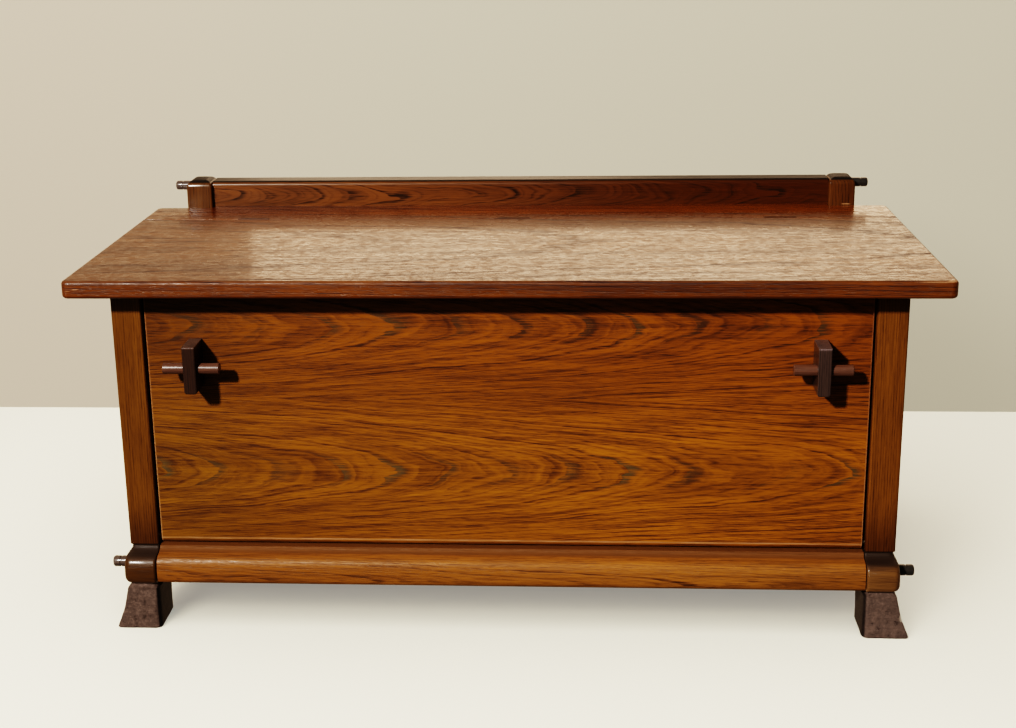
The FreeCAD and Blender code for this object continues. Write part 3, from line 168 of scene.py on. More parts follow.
def oak(name, light, dark, along="x", face="y", heart=0.0, depth=0.13, slope=0.033, ring=0.003,
        waver=0.010, fold=None, far=None, tips=None, bands=0.5, streaks=0.6, broad=0.4, gloss=0.32,
        coat=0.3, film=0.12, sheens=(), flows=0.0, seed=0.0, painted_top_shade=None, painted_edge_highlight=None, worn=0.0,
        marks=(), relief=0.0003, dimples=0.0, flecks=0.0, shine=0.3, shades=()):
    """Stained oak. Its fibres run along one axis. The growth rings lie round a heart line that
    is depth behind the face and leans by slope, so that they cut the face in arches.

    far: the light colour at the right end. tips: the dark colour at the tips of the arches.
    fold: where a second heart line mirrors the first, and how far the two are from there.
    sheens: axis, low, high, varnish gained, roughness gained and relief lost from low to high.
    painted_edge_highlight: colour, half width and foot of a painted highlight along the edges of a
    board.
    painted_top_shade: colour, low, high and the varnish lost on an upper part darkened as painted
    shade.
    shades: axis, low, high and the factor on the colour from low to high; most rows paint shade,
    light and reflections into the colour.
    marks: colour, middle and reach of a rubbed spot."""
    sheet = Sheet(name)
    board = sheet.place()
    axes = dict(zip("xyz", sheet.split(board)))
    run = axes[along]
    side = axes[({"x", "y", "z"} - {along, face}).pop()]

    def grain(long, wide, detail=2.0, rough=0.5, shift=0.0):
        scale = [long if axis == along else wide for axis in "xyz"]
        return sheet.noise(board, scale, detail, rough, seed + shift)

    # The growth rings, counted from the heart line.
    off = (side - fold[0]).size() - fold[1] if fold else side - heart
    sway = grain(2.2, 7.0, 3.0, 0.55) - 0.5
    ripple = grain(18.0, 90.0, 2.0, 0.5, 4.0) - 0.5
    deep = axes[face] + run * slope + depth + sway * waver
    rings = ((deep * deep + off * off).root() + ripple * (ring * 0.4)) / ring
    part = rings.fraction()
    strong = sheet.node("ShaderNodeTexWhiteNoise", {"noise_dimensions": "1D"},
                        {"W": rings.whole()})
    early = (1.0 - part.step(0.04, 0.36)) * part.step(0.0, 0.04) * (0.35 + strong * 0.9)
    between = (rings * 2.6).fraction()
    minor = (1.0 - between.step(0.12, 0.55)) * between.step(0.0, 0.12)

    # The fibres, from short dashes to broad bands.
    fine = grain(24.0, 640.0, 2.0, 0.62, 2.0)
    streak = grain(9.0, 260.0, 3.0, 0.68, 6.0)
    pore = grain(60.0, 1300.0, 1.0, 0.5, 5.0).step(0.53, 0.64)
    wide = grain(1.7, 55.0, 3.0, 0.6, 9.0)
    cloud = grain(1.8, 9.0, 2.0, 0.5, 7.0)
    dash = fine.step(0.42, 0.58)
    lines = early * (0.55 + dash * 0.6) + minor * (0.30 + dash * 0.30)
    shade = lines * bands + (streak.step(0.42, 0.68) * 0.38 + dash * 0.18 + pore * 0.3) * streaks
    shade = shade + (wide - 0.5) * broad
    if flows:
        along_rings = sheet.node("ShaderNodeCombineXYZ", None, {"X": run * 5.5, "Y": rings * 1.9})
        stripe = sheet.noise(along_rings, (1, 1, 1), 4.0, 0.66, seed + 20.0)
        shade = shade + (stripe.step(0.36, 0.64) - 0.45) * flows

    # The colour of the clean board.
    body = flat(light)
    if far:
        body = sheet.mix(axes["x"].step(-0.5, 0.5), body, flat(far))
    body = sheet.mix(cloud.step(0.3, 0.7), sheet.times(body, DARKER), sheet.times(body, LIGHTER))
    pale = (1.0 - streak.step(0.30, 0.46)) * fine.step(0.40, 0.60)
    body = sheet.mix(pale * 0.55, body, sheet.times(body, PALE))
    deepest = flat(dark)
    if tips:
        tip = (1.0 - off.size().step(0.004, 0.034)) * early
        deepest = sheet.mix(tip, flat(dark), flat(tips))
        shade = shade + tip * dash * 0.25
    colour = sheet.mix(shade, body, deepest)

    # Its relief and its varnish.
    height = fine * 0.3 + streak * 0.4 - pore * 0.5 - early * 0.5
    rough = gloss + shade * 0.16 + (cloud - 0.5) * 0.08
    varnish = coat * (1.0 - shade * 0.55)
    if dimples:
        height = height + grain(70.0, 210.0, 3.0, 0.6, 12.0) * dimples
    if flecks:
        dull = grain(100.0, 180.0, 3.0, 0.66, 15.0).step(0.40, 0.60)
        varnish = varnish * (1.0 - dull * flecks)
        rough = rough + dull * flecks * 0.22
    for axis, low, high, gain, duller, flatter in sheens:
        within = axes[axis].step(low, high)
        varnish = varnish * (1.0 + within * gain)
        rough = rough + within * duller
        height = height * (1.0 - within * flatter)

    # Age, wear, and light and shade painted into the colour.
    # Painted highlight: a lighter colour along the sides and the foot of the board, where its
    # rounded edges catch the light.
    if painted_edge_highlight:
        tone, half, low = painted_edge_highlight
        sides = 1.0 - (half - axes["x"].size()).step(0.0012, 0.0026)
        above = axes["z"] - low
        bottom = above.step(-0.0020, 0.0) * (1.0 - above.step(0.0008, 0.0026))
        colour = sheet.mix((sides + bottom) * (0.45 + dash * 0.5), colour, flat(tone))
    # Painted shade: an upper part darkens and loses its varnish, in the coves of the base and blocks
    # and on the tops of the gallery and its posts.
    if painted_top_shade:
        tone, low, high, bare = painted_top_shade
        top_shade_share = axes["z"].step(low, high)
        colour = sheet.mix(top_shade_share, colour, sheet.mix(shade * 0.6, flat(tone), tint(tone, 0.5)))
        varnish = varnish * (1.0 - top_shade_share * bare)
        rough = rough + top_shade_share * (bare * 0.25)
    if worn:
        rub = sheet.noise(board, (130, 130, 130), 5.0, 0.7, seed + 3.0)
        scuff = sheet.noise(board, (420, 420, 420), 3.0, 0.7, seed + 8.0)
        height = height + rub * worn + scuff * worn
        colour = sheet.mix(rub.step(0.46, 0.66) * 0.6, colour, tint(light, 1.9))
        colour = sheet.mix(scuff.step(0.56, 0.70) * 0.5, colour, tint(light, 2.6))
        colour = sheet.mix(1.0 - rub.step(0.30, 0.44), colour, flat(dark))
    for axis, low, high, factor in shades:
        colour = sheet.mix(axes[axis].step(low, high), colour, sheet.times(colour, factor))
    if marks:
        ragged = (sheet.noise(board, (520, 520, 520), 3.0, 0.7, seed + 8.0) - 0.5) * 1.6
    for tone, middle, reach in marks:
        parts = [(axes[axis] - middle[at]) / reach[at] for at, axis in enumerate("xyz")]
        away = (parts[0] * parts[0] + parts[1] * parts[1] + parts[2] * parts[2]).root() + ragged
        colour = sheet.mix((1.0 - away.step(0.75, 1.15)) * 0.85, colour, flat(tone))
    return sheet.finish(colour, rough, height, relief, Coat_Weight=varnish, Coat_Roughness=film,
                        Specular_IOR_Level=shine)


def plain(name, colour, roughness, metallic=0.0, shine=0.5):
    """An even colour, a little cloudy."""
    sheet = Sheet(name)
    uneven = sheet.noise(sheet.place(), (60, 60, 60), 3.0, 0.6)
    tone = sheet.mix(uneven.step(0.3, 0.7), tint(colour, 0.8), tint(colour, 1.2))
    return sheet.finish(tone, roughness + (uneven - 0.5) * 0.2, Metallic=metallic,
                        Specular_IOR_Level=shine)


# Finishes. First the light and the dark colour of the wood.

TOP = oak(
    "waxed top oak", (0.185, 0.056, 0.006), (0.045, 0.010, 0.003), far=(0.205, 0.064, 0.006),
    face="z", depth=0.6, slope=0.02, heart=-0.05, ring=0.006, bands=0.5, streaks=1.0, broad=1.5,
    gloss=0.24, coat=0.58, seed=2.0, film=0.10, relief=0.0005, dimples=1.0, flecks=0.66, shine=0.5,
    sheens=[("y", 0.10, 0.20, 0.2, -0.13, 0.8), ("z", 0.5262, 0.5248, -0.8, 0.05, 0.0),
            ("x", 0.30, 0.60, -0.25, 0.0, 0.0)],
    # Painted reflection: the top is oranger just in front of the gallery, where it mirrors the
    # gallery rail.
    shades=[("y", 0.09, 0.19, (1.40, 1.25, 0.80))],
    marks=[((0.55, 0.30, 0.16), (0.594, -0.274, 0.5262), (0.010, 0.006, 0.0012)),
           ((0.40, 0.20, 0.10), (0.575, -0.277, 0.5254), (0.030, 0.004, 0.0008)),
           ((0.42, 0.20, 0.10), (-0.5790, -0.278, 0.5160), (0.005, 0.003, 0.0008)),
           ((0.36, 0.17, 0.08), (-0.5900, -0.277, 0.5135), (0.004, 0.003, 0.0006))])
FRONT = oak(
    "fall front oak", (0.305, 0.122, 0.012), (0.090, 0.028, 0.004), far=(0.415, 0.150, 0.011),
    tips=(0.115, 0.068, 0.026), fold=(0.342, 0.108), depth=0.40, seed=8.0, gloss=0.38, coat=0.10,
    # Painted highlight along the edges of the fall front.
    bands=0.55, streaks=1.0, flows=0.46, painted_edge_highlight=((0.50, 0.25, 0.12), 0.5035, 0.1278),
    # Painted shade: the panel darkens towards the top.
    shades=[("z", 0.22, 0.44, (0.74, 0.64, 0.58)), ("x", 0.15, 0.50, (0.95, 0.93, 0.93)),
            ("x", -0.28, -0.48, (0.88, 0.93, 0.93))])
# The rear posts have painted shade on the tops of their heads.
POST = oak(
    "post oak", (0.200, 0.082, 0.012), (0.060, 0.020, 0.005), far=(0.225, 0.088, 0.014),
    along="z", depth=0.34, slope=0.05, ring=0.0035, seed=3.0, gloss=0.40, coat=0.9, film=0.21,
    bands=0.5, streaks=0.6, shine=0.08, sheens=[("x", -0.25, 0.5, -0.6, 0.0, 0.0)],
    painted_top_shade=((0.042, 0.032, 0.019), 0.5672, 0.5690, 0.7),
    shades=[("z", 0.20, 0.1185, (0.50, 0.46, 0.60)), ("z", 0.515, 0.530, (0.62, 0.60, 0.75))],
    marks=[((0.60, 0.36, 0.20), (0.5210, 0.222, 0.5222), (0.0045, 0.004, 0.0012)),
           ((0.45, 0.24, 0.12), (0.5350, 0.222, 0.5290), (0.0075, 0.004, 0.0010))])
# The gallery rail has painted shade along its top.
GALLERY = oak(
    "gallery oak", (0.190, 0.066, 0.010), (0.040, 0.012, 0.003), far=(0.085, 0.024, 0.004),
    tips=(0.03, 0.012, 0.004), depth=-0.18, heart=0.545, slope=0.05, waver=0.03, seed=5.0,
    gloss=0.40, coat=0.8, film=0.28, flows=0.3, bands=0.5, shine=0.08,
    sheens=[("x", 0.0, 0.30, -0.85, 0.0, 0.0)],
    painted_top_shade=((0.026, 0.019, 0.014), 0.5660, 0.5680, 0.4))
# The base rail has painted shade in the cove above its nose.
BASE = oak(
    "base oak", (0.325, 0.126, 0.021), (0.080, 0.028, 0.006), far=(0.365, 0.147, 0.027),
    depth=0.42, heart=0.05, slope=0.02, seed=11.0, gloss=0.31, coat=0.10, film=0.36, flecks=0.45,
    bands=0.5, streaks=0.8, relief=0.0005, dimples=0.8, shine=0.3,
    sheens=[("z", 0.106, 0.109, 6.0, 0.0, 0.0), ("x", 0.02, 0.24, -0.9, 0.0, 0.0)],
    painted_top_shade=((0.190, 0.075, 0.018), 0.1108, 0.1122, 1.0))
# The corner blocks have painted shade in the cove above their nose.
BLOCK = oak(
    "block oak", (0.115, 0.050, 0.012), (0.040, 0.016, 0.006), far=(0.240, 0.118, 0.040),
    depth=0.42, seed=14.0, gloss=0.30, coat=0.4, film=0.16, bands=0.3, streaks=0.6,
    painted_top_shade=((0.046, 0.026, 0.016), 0.1035, 0.1100, 1.0))
FOOT = oak(
    "worn foot oak", (0.118, 0.078, 0.062), (0.050, 0.030, 0.024), far=(0.150, 0.104, 0.086),
    depth=0.42, seed=17.0, gloss=0.60, coat=0.0, streaks=0.2, bands=0.1, broad=0.3, worn=1.2,
    # Painted shade on the inner sides of the feet; the second row brings the rest of the right foot
    # back.
    shades=[("x", -0.5080, -0.5055, (0.16, 0.15, 0.15)), ("x", 0.5050, 0.5080, (6.3, 6.7, 6.7))],
    marks=[((0.66, 0.56, 0.44), (0.5575, -0.2575, 0.0330), (0.004, 0.007, 0.007))])
PULL = oak(
    "dark pull oak", (0.060, 0.029, 0.018), (0.014, 0.008, 0.006), far=(0.095, 0.058, 0.046),
    along="z", depth=0.4, seed=19.0, gloss=0.34, coat=0.5,
    # Painted light on the top faces of the bars, and painted shade on the left side of the right
    # bar; the last row brings the left bar back.
    shades=[("z", 0.4270, 0.4295, (2.4, 2.7, 3.2)), ("x", 0.4242, 0.4234, (0.5, 0.5, 0.55)),
            ("x", 0.01, -0.01, (2.0, 2.0, 1.82))])
DOWEL = oak(
    "dowel oak", (0.170, 0.080, 0.050), (0.045, 0.016, 0.009), depth=0.4, seed=23.0, gloss=0.34,
    coat=0.7, film=0.22)
PIN = oak(
    "pin oak", (0.160, 0.112, 0.090), (0.040, 0.026, 0.020), far=(0.045, 0.040, 0.034), depth=0.4,
    seed=29.0, gloss=0.30, coat=0.8)
INSIDE = oak(
    "unstained oak", (0.32, 0.19, 0.095), (0.15, 0.08, 0.035), depth=0.4, seed=31.0, gloss=0.55,
    coat=0.0)
INSIDE_CROSS = oak(
    "inside cross oak", (0.26, 0.135, 0.055), (0.12, 0.055, 0.022), along="y", face="z", depth=0.4,
    seed=31.0, gloss=0.55, coat=0.0)
BOTTOM = oak(
    "unstained bottom oak", (0.32, 0.19, 0.095), (0.15, 0.08, 0.035), face="z", depth=0.4,
    seed=33.0, gloss=0.55, coat=0.0)
BACK = oak(
    "back panel oak", (0.230, 0.098, 0.018), (0.070, 0.026, 0.006), depth=-0.50, seed=35.0,
    gloss=0.42, coat=0.06, flows=0.4)
SIDE = oak(
    "side panel oak", (0.230, 0.094, 0.016), (0.070, 0.024, 0.005), along="z", face="x",
    depth=0.30, slope=0.05, seed=37.0, gloss=0.40, coat=0.10, flows=0.4)
# The side rails have painted shade in the cove above their nose.
SIDE_RAIL = oak(
    "side rail oak", (0.290, 0.116, 0.018), (0.080, 0.028, 0.006), along="y", face="x", depth=0.34,
    seed=39.0, gloss=0.31, coat=0.14, film=0.22, bands=0.5, streaks=0.8,
    painted_top_shade=((0.155, 0.060, 0.015), 0.1080, 0.1105, 1.0))
HINGE = plain("brown hinge brass", (0.085, 0.034, 0.014), 0.45, 0.0, 0.35)
STEEL = plain("dull screw steel", (0.20, 0.19, 0.17), 0.42, 1.0)
BRASS = plain("bush brass", (0.45, 0.32, 0.14), 0.38, 1.0)

FINISHES = {
    "top_oak": TOP, "post_oak": POST, "flap_oak": FRONT, "gallery_oak": GALLERY,
    "base_oak": BASE, "block_oak": BLOCK, "foot_oak": FOOT, "pull_oak": PULL,
    "dowel_oak": DOWEL, "pin_oak": PIN, "plain_oak": INSIDE, "dark_hinge": HINGE,
    "steel": STEEL, "bush_brass": BRASS}
SLOTS = {row["node"]: row["material_slot"] for row in frame["record"]["subparts"]}

# Nodes whose fibres or stain aren't those of the finish of their slot.
OWN_FINISHES = {
    "side_panel_left": SIDE, "side_panel_right": SIDE, "back_panel": BACK, "top_rail_rear": BACK,
    "bottom_board": BOTTOM, "base_rail_left": SIDE_RAIL, "base_rail_right": SIDE_RAIL,
    "top_rail_left": INSIDE_CROSS, "top_rail_right": INSIDE_CROSS,
    "lid_batten_left": INSIDE_CROSS, "lid_batten_right": INSIDE_CROSS}

for node, thing in NODES.items():
    thing.data.materials.clear()
    thing.data.materials.append(OWN_FINISHES.get(node, FINISHES[SLOTS[node]]))

# Pieces modelled in edit mode, each in place of a plainer solid of the case.

MM = 0.001
TINY = 1e-5
ROUND = 6
SMOOTH = math.radians(40)
LEVEL = 0.9


def choose(kind, test):
    """Selects the parts of the mesh in edit mode that pass a test of their place or normal."""
    bpy.ops.mesh.select_mode(type=kind)
    bpy.ops.mesh.select_all(action="DESELECT")
    mesh = bpy.context.edit_object.data
    shape = bmesh.from_edit_mesh(mesh)
    parts = {"VERT": shape.verts, "EDGE": shape.edges, "FACE": shape.faces}[kind]
    for part in [part for part in parts if test(part)]:
        part.select_set(True)
    bmesh.update_edit_mesh(mesh)


def grow(shift):
    """Extrudes the selected faces."""
    bpy.ops.mesh.extrude_region_move(TRANSFORM_OT_translate={"value": shift})


def drawn(wide, insets):
    """A rectangle (left, right, front, back) drawn in at each side."""
    return [edge + inset * way for edge, inset, way in zip(wide, insets, (1, -1, 1, -1))]


def fit(old, new, height):
    """Brings the selected section from one rectangle to another."""
    middle = ((old[0] + old[1]) / 2, (old[2] + old[3]) / 2, height)
    scale = ((new[1] - new[0]) / (old[1] - old[0]), (new[3] - new[2]) / (old[3] - old[2]), 1)
    bpy.ops.transform.resize(value=scale, center_override=middle)
    shift = ((new[0] + new[1]) / 2 - middle[0], (new[2] + new[3]) / 2 - middle[1], 0)
    bpy.ops.transform.translate(value=shift)


def stack(name, wide, sections, corners=()):
    """A cube with bevelled corners, whose top is extruded from section to section. A section is
    its height and the insets of its left, right, front and back."""
    left, right, front, back = wide
    low, high = sections[0][0], sections[1][0]
    bpy.ops.object.select_all(action="DESELECT")
    bpy.ops.mesh.primitive_cube_add(
        size=1, location=((left + right) / 2, (front + back) / 2, (low + high) / 2),
        scale=(right - left, back - front, high - low))
    piece = bpy.context.object
    piece.name = name
    bpy.ops.object.transform_apply(location=True, rotation=True, scale=True)
    bpy.ops.object.mode_set(mode="EDIT")
    for x, y, radius in corners:
        choose("EDGE", lambda edge: all(abs(end.co.x - x) < TINY and abs(end.co.y - y) < TINY
                                        for end in edge.verts))
        bpy.ops.mesh.bevel(offset=radius, offset_type="OFFSET", segments=ROUND, affect="EDGES")
    choose("FACE", lambda face: face.normal.z < -LEVEL)
    fit(wide, drawn(wide, sections[0][1]), low)
    choose("FACE", lambda face: face.normal.z > LEVEL)
    now = drawn(wide, sections[1][1])
    fit(wide, now, high)
    for height, insets in sections[2:]:
        grow((0, 0, height - high))
        fit(now, drawn(wide, insets), height)
        now, high = drawn(wide, insets), height
    return piece


def alone(piece):
    """Leaves edit mode and selects one piece."""
    if bpy.context.object and bpy.context.object.mode == "EDIT":
        bpy.ops.object.mode_set(mode="OBJECT")
    bpy.ops.object.select_all(action="DESELECT")
    piece.select_set(True)
    bpy.context.view_layer.objects.active = piece


def done(piece, node):
    """Gives a finished piece the place and the finish of a node."""
    alone(piece)
    bpy.ops.object.shade_smooth_by_angle(angle=SMOOTH)
    piece.data.materials.clear()
    piece.data.materials.append(FINISHES[SLOTS[node]])
    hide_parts(node)
    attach(piece, "case")


def mirrored(piece, name):
    """A copy for the other side, with its own mesh."""
    alone(piece)
    fresh = piece.copy()
    fresh.data = piece.data.copy()
    fresh.name = name
    bpy.context.scene.collection.objects.link(fresh)
    alone(fresh)
    bpy.ops.object.mode_set(mode="EDIT")
    bpy.ops.mesh.select_all(action="SELECT")
    bpy.ops.transform.resize(value=(-1, 1, 1), center_override=(0, 0, 0))
    bpy.ops.mesh.normals_make_consistent(inside=False)
    bpy.ops.object.mode_set(mode="OBJECT")
    return fresh


def spread(piece, node):
    """Settles a piece of the right side, and its mirrored copy on the left."""
    other = mirrored(piece, piece.name.replace("right", "left"))
    done(piece, node)
    done(other, node.replace("right", "left"))


def wide_of(node):
    low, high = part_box(node)
    return [low[0], high[0], low[1], high[1]]


# The moulding of the base, in mm: height, and how far the face lies behind the nose.
MOULDING = [(70, 5.0), (71.2, 2.9), (73, 1.4), (76, 0.4), (80, 0), (88, 0.1), (94, 0.5), (98.5, 1.4),
            (102, 2.6), (105, 4.3), (107.4, 6.6), (109, 9.2), (110, 12.4), (110.7, 15.8),
            (111.6, 19.0), (112.8, 22.0), (114.3, 24.4), (116.2, 25.9), (118.5, 26.5)]
NOSE_HEIGHT = 90
RAIL_COLLAR = 26.5
RAIL_PLAY = 1.2 * MM
TENON_INSET = 8 * MM
TENON_LENGTH = 12 * MM


def front_rail():
    wide = wide_of("base_rail_front")
    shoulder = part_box("corner_block_front_right")[0][0] - RAIL_PLAY
    wide[:2] = -shoulder, shoulder
    rows = [(z * MM, (0, 0, inset * MM, 0)) for z, inset in MOULDING]
    piece = stack("moulded_front_rail", wide, rows)
    for way in (-1, 1):
        choose("FACE", lambda face: face.normal.x * way > LEVEL)
        bpy.ops.mesh.dissolve_faces()
        bpy.ops.mesh.inset(thickness=TENON_INSET)
        grow((way * TENON_LENGTH, 0, 0))
    done(piece, "base_rail_front")


# How far the collar of a block lies behind its nose at the front and at its outer side, in mm.
BLOCK_COLLAR = 29.3
BLOCK_SIDE_COLLAR = 7.0
BLOCK_FOOT_SHARE = 1.6
BLOCK_CORNER = 9 * MM
BLOCK_INNER_CORNER = 3.5 * MM


def corner_blocks():
    """The moulding of the rail, run round a corner."""
    side_share = BLOCK_SIDE_COLLAR / BLOCK_COLLAR
    for end in ("front", "rear"):
        node = f"corner_block_{end}_right"
        wide = wide_of(node)
        rows = []
        for z, inset in MOULDING:
            above_nose = z > NOSE_HEIGHT
            face = inset * BLOCK_COLLAR / RAIL_COLLAR if above_nose else inset
            side = face * side_share if above_nose else inset * BLOCK_FOOT_SHARE
            face, side = face * MM, side * MM
            rows.append((z * MM, (0, side, face, 0) if end == "front" else (0, side, 0, side)))
        y = wide[2] if end == "front" else wide[3]
        piece = stack(f"{end}_corner_block_right", wide, rows,
                      [(wide[1], y, BLOCK_CORNER), (wide[0], y, BLOCK_INNER_CORNER)])
        spread(piece, node)


# The outer side of a foot, in mm: height, and how far it lies inside the sole's edge.
FLARE = [(0, 2.4), (1.8, 0.2), (6, 1.6), (14, 5.2), (26, 9.6), (40, 13.8), (54, 17.2),
         (64, 19.2), (65.5, 20.6), (67, 23.5), (70, 23.5)]
NECK_HEIGHT = 64
NECK_RISE = 3
NECK_INSET = 6 * MM
SOLE_INSET = 1.8 * MM
SOLE_HEIGHT = 1.2 * MM
FOOT_INNER_CORNER = 10 * MM
FOOT_OUTER_CORNER = 3 * MM
# How wide the dents are, and how deep.
DENTS = ((0.020, 1.3 * MM), (0.006, 0.5 * MM))


def feet():
    """A foot flares to its outer side, and its faces are dented by wear."""
    for end in ("front", "rear"):
        node = f"foot_{end}_right"
        wide = wide_of(node)
        rows = []
        for z, inset in FLARE:
            drawn_in = min(max(z - NECK_HEIGHT, 0) / NECK_RISE, 1) * NECK_INSET
            if z == 0:
                drawn_in = SOLE_INSET
            rows.append((z * MM, (drawn_in, inset * MM, drawn_in, drawn_in)))
        corners = [(wide[side], y, radius) for side, radius in
                   ((0, FOOT_INNER_CORNER), (1, FOOT_OUTER_CORNER)) for y in wide[2:]]
        piece = stack(f"{end}_foot_right", wide, rows, corners)
        choose("FACE", lambda face: abs(face.normal.z) < LEVEL)
        bpy.ops.mesh.subdivide(number_cuts=3)
        bpy.ops.object.mode_set(mode="OBJECT")
        for size, deep in DENTS:
            dents = bpy.data.textures.new("dents", "CLOUDS")
            dents.noise_scale = size
            bpy.ops.object.modifier_add(type="DISPLACE")
            wear = piece.modifiers[-1]
            wear.texture = dents
            wear.mid_level = 1.0
            wear.strength = deep
            bpy.ops.object.modifier_apply(modifier=wear.name)
        bpy.ops.object.mode_set(mode="EDIT")
        choose("VERT", lambda corner: corner.co.z < SOLE_HEIGHT)
        bpy.ops.transform.resize(value=(1, 1, 0), center_override=(0, 0, 0))
        spread(piece, node)


CROWN = 12 * MM
CROWN_STEPS = 8
CROWN_TURN = math.radians(10.5)
POST_CORNER = 3 * MM


def rear_posts():
    """A post with a rounded head, which stands above the top."""
    wide = wide_of("rear_post_right")
    low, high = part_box("rear_post_right")
    neck = high[2] - CROWN
    rows = [(low[2], (0, 0, 0, 0)), (neck, (0, 0, 0, 0))]
    for step in range(1, CROWN_STEPS + 1):
        inset = CROWN * (1 - math.cos(step * CROWN_TURN))
        rows.append((neck + CROWN * math.sin(step * CROWN_TURN), (inset,) * 4))
    rows[-1] = (high[2], rows[-1][1])
    corners = [(x, y, POST_CORNER) for x in wide[:2] for y in wide[2:]]
    spread(stack("rear_post_right_rounded", wide, rows, corners), "rear_post_right")


# The turning of a pin, from the wood outwards: length in mm, and scale of the radius.
TURNING = [(0.5, 0.88), (1.6, 1.0), (0.5, 1.136), (7.0, 1.0), (1.5, 0.95), (1.0, 0.88), (0.5, 0.8)]
SHANK = 30 * MM
PIN_SIDES = 32


def pins():
    """A pin has a turned groove and a soft end; its shank is set into the wood."""
    for kind in ("base_pin_front", "base_pin_rear", "gallery_pin"):
        node = f"{kind}_right"
        low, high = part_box(node)
        start = high[0] - sum(length for length, scale in TURNING) * MM - SHANK
        middle = (start + SHANK / 2, (low[1] + high[1]) / 2, (low[2] + high[2]) / 2)
        bpy.ops.object.select_all(action="DESELECT")
        bpy.ops.mesh.primitive_cylinder_add(
            vertices=PIN_SIDES, radius=(high[2] - low[2]) / 2, depth=SHANK, location=middle,
            rotation=(0, math.pi / 2, 0))
        piece = bpy.context.object
        piece.name = f"round_{kind}_right"
        bpy.ops.object.transform_apply(location=True, rotation=True, scale=True)
        bpy.ops.object.mode_set(mode="EDIT")
        choose("FACE", lambda face: face.normal.x > LEVEL)
        x = start + SHANK
        for length, scale in TURNING:
            grow((length * MM, 0, 0))
            x += length * MM
            bpy.ops.transform.resize(value=(1, scale, scale),
                                     center_override=(x, middle[1], middle[2]))
        bpy.ops.mesh.inset(thickness=1.5 * MM, depth=0.3 * MM)
        spread(piece, node)


front_rail()
corner_blocks()
feet()
rear_posts()
pins()

# Floor and wall. Only the camera sees the wall, and only from the front.

REACH = 9.0
WALL_PLACE = 0.72
WALL_HEIGHT = 3.0


def sheet_of(name, corners, material):
    mesh = bpy.data.meshes.new(name)
    mesh.from_pydata(corners, [], [range(len(corners))])
    thing = bpy.data.objects.new(name, mesh)
    bpy.context.scene.collection.objects.link(thing)
    thing.data.materials.append(material)
    thing.visible_diffuse = False
    thing.visible_glossy = False
    return thing


def paint(sheet, colour, glow):
    """Dull paint, which also glows a little, as if lit from all round."""
    return sheet.node("ShaderNodeBsdfPrincipled", None, {
        "Base Color": flat(colour), "Specular IOR Level": 0.0,
        "Emission Color": glow, "Emission Strength": 1.0})


def floor_paint():
    sheet = Sheet("pale floor")
    surface = paint(sheet, (0.82, 0.725, 0.53), flat((0.20, 0.21, 0.20)))
    sheet.node("ShaderNodeOutputMaterial", None, {"Surface": surface})
    return sheet.owner


def wall_paint():
    """The wall is a little pinker at the left, and clear from behind."""
    sheet = Sheet("pale wall")
    left = sheet.split(sheet.place())[0].step(-0.1, -1.0)
    glow = sheet.mix(left, flat((0.286, 0.256, 0.191)), flat((0.318, 0.250, 0.187)))
    ahead = paint(sheet, (0.300, 0.262, 0.200), glow)
    clear = sheet.node("ShaderNodeBsdfTransparent")
    behind = sheet.node("ShaderNodeNewGeometry", output="Backfacing")
    surface = sheet.node("ShaderNodeMixShader", None, {0: behind, 1: ahead, 2: clear})
    sheet.node("ShaderNodeOutputMaterial", None, {"Surface": surface})
    return sheet.owner


floor = sheet_of("floor", [(-REACH, -REACH, 0), (REACH, -REACH, 0), (REACH, REACH, 0),
                           (-REACH, REACH, 0)], floor_paint())
wall = sheet_of("wall", [(-REACH, WALL_PLACE, 0), (REACH, WALL_PLACE, 0),
                         (REACH, WALL_PLACE, WALL_HEIGHT), (-REACH, WALL_PLACE, WALL_HEIGHT)],
                wall_paint())
wall.visible_shadow = False

# Lamps. Three light the chest alone: key, front fill and window. Two light floor and wall alone.


def backdrop(state):
    """Floor and wall, as what a lamp lights (INCLUDE) or passes over (EXCLUDE)."""
    group = bpy.data.collections.new("backdrop " + state.lower())
    for thing in (floor, wall):
        group.objects.link(thing)
    for row in group.collection_objects:
        row.light_linking.link_state = state
    return group


def lamp(name, place, target, size, power, colour, lit):
    light = bpy.data.lights.new(name, "AREA")
    light.shape = "RECTANGLE"
    light.size, light.size_y = size
    light.energy = power
    light.color = colour
    thing = bpy.data.objects.new(name, light)
    bpy.context.scene.collection.objects.link(thing)
    thing.location = place
    thing.rotation_euler = (Vector(target) - Vector(place)).to_track_quat("-Z", "Y").to_euler()
    thing.light_linking.receiver_collection = lit


BACKDROP = backdrop("INCLUDE")
CHEST = backdrop("EXCLUDE")
SUN = Vector((0.545, 1.0, -0.68)).normalized()
AIM = Vector((0.0, 0.0, 0.25))
WARM = (1.0, 0.97, 0.92)
GREENISH = (1, 1, 0.96)
lamp("key light", AIM - SUN * 6.0, AIM, (0.34, 0.34), 330, WARM, CHEST)
lamp("soft floor light", (-0.5, -0.9, 3.2), (0.0, 0.0, 0.0), (4.4, 4.4), 200, GREENISH, BACKDROP)
lamp("floor side light", AIM - SUN * 5.0, AIM, (1.8, 1.8), 125, GREENISH, BACKDROP)
lamp("front fill", (-0.6, -3.0, 1.4), (0.0, 0.0, 0.3), (2.0, 1.2), 4.0, (1, 0.92, 0.80), CHEST)
lamp("window light", (0.27, 3.4, 1.75), (0.27, 0.0, 0.9), (2.9, 1.7), 22.5, (1.0, 0.735, 0.515),
     CHEST)


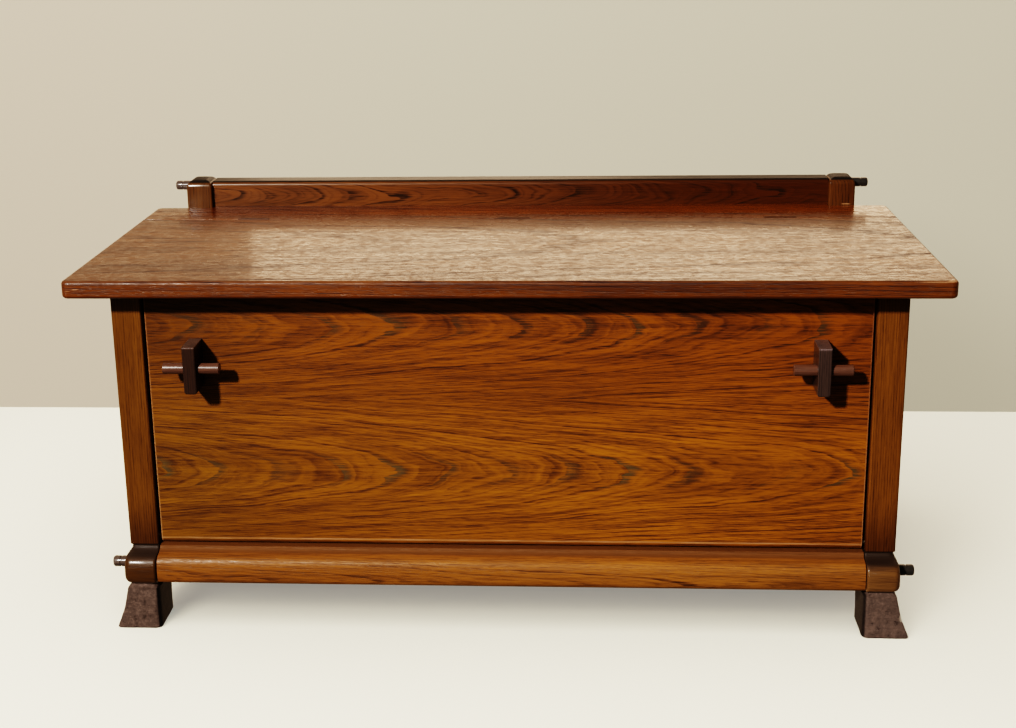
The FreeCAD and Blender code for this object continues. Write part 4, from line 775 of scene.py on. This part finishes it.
def surroundings():
    """Dim in front and bright behind; the camera sees a pale colour all round."""
    world = bpy.data.worlds.new("surroundings")
    sheet = Sheet("surroundings", world)
    across, toward, up = sheet.split(sheet.node("ShaderNodeTexCoord", output="Generated"))
    front = sheet.mix(across.step(-0.1, 0.5), flat((0.080, 0.074, 0.066)),
                      flat((0.038, 0.035, 0.031)))
    light = sheet.mix(toward.step(0.10, 0.55), front, flat((0.58, 0.415, 0.275)))
    seen = sheet.node("ShaderNodeLightPath", output="Is Camera Ray")
    colour = sheet.mix(seen, light, flat((0.53, 0.48, 0.36)))
    glow = sheet.node("ShaderNodeBackground", None, {"Color": colour, "Strength": 1.0})
    sheet.node("ShaderNodeOutputWorld", None, {"Surface": glow})
    return world


bpy.context.scene.world = surroundings()

# Camera, at the photograph's place.

FOCAL_PIXELS = 1514.58
IMAGE_WIDTH = 1016
IMAGE_HEIGHT = 728
PITCH = 0.2713
YAW = 0.0682
ROLL = -0.0176
EYE = (0.10572, -2.22645, 1.02534)
MIDDLE_OF_VIEW = (480.97, 314.09)
SENSOR = 36.0

camera = bpy.data.objects.new("camera", bpy.data.cameras.new("camera"))
bpy.context.scene.collection.objects.link(camera)
camera.data.sensor_fit = "HORIZONTAL"
camera.data.sensor_width = SENSOR
camera.data.lens = FOCAL_PIXELS * SENSOR / IMAGE_WIDTH
camera.data.shift_x = (IMAGE_WIDTH / 2 - MIDDLE_OF_VIEW[0]) / IMAGE_WIDTH
camera.data.shift_y = (MIDDLE_OF_VIEW[1] - IMAGE_HEIGHT / 2) / IMAGE_WIDTH
turn = Matrix.Rotation(YAW, 3, "Z")
ahead = turn @ Vector((0, math.cos(PITCH), -math.sin(PITCH)))
level = turn @ Vector((1, 0, 0))
upward = turn @ Vector((0, math.sin(PITCH), math.cos(PITCH)))
right = level * math.cos(ROLL) + upward * math.sin(ROLL)
above = upward * math.cos(ROLL) - level * math.sin(ROLL)
camera.matrix_world = Matrix.Translation(EYE) @ Matrix((right, above, -ahead)).transposed().to_4x4()
bpy.context.scene.camera = camera

bpy.context.scene.view_settings.view_transform = "Filmic"
bpy.context.scene.view_settings.look = "Very High Contrast"
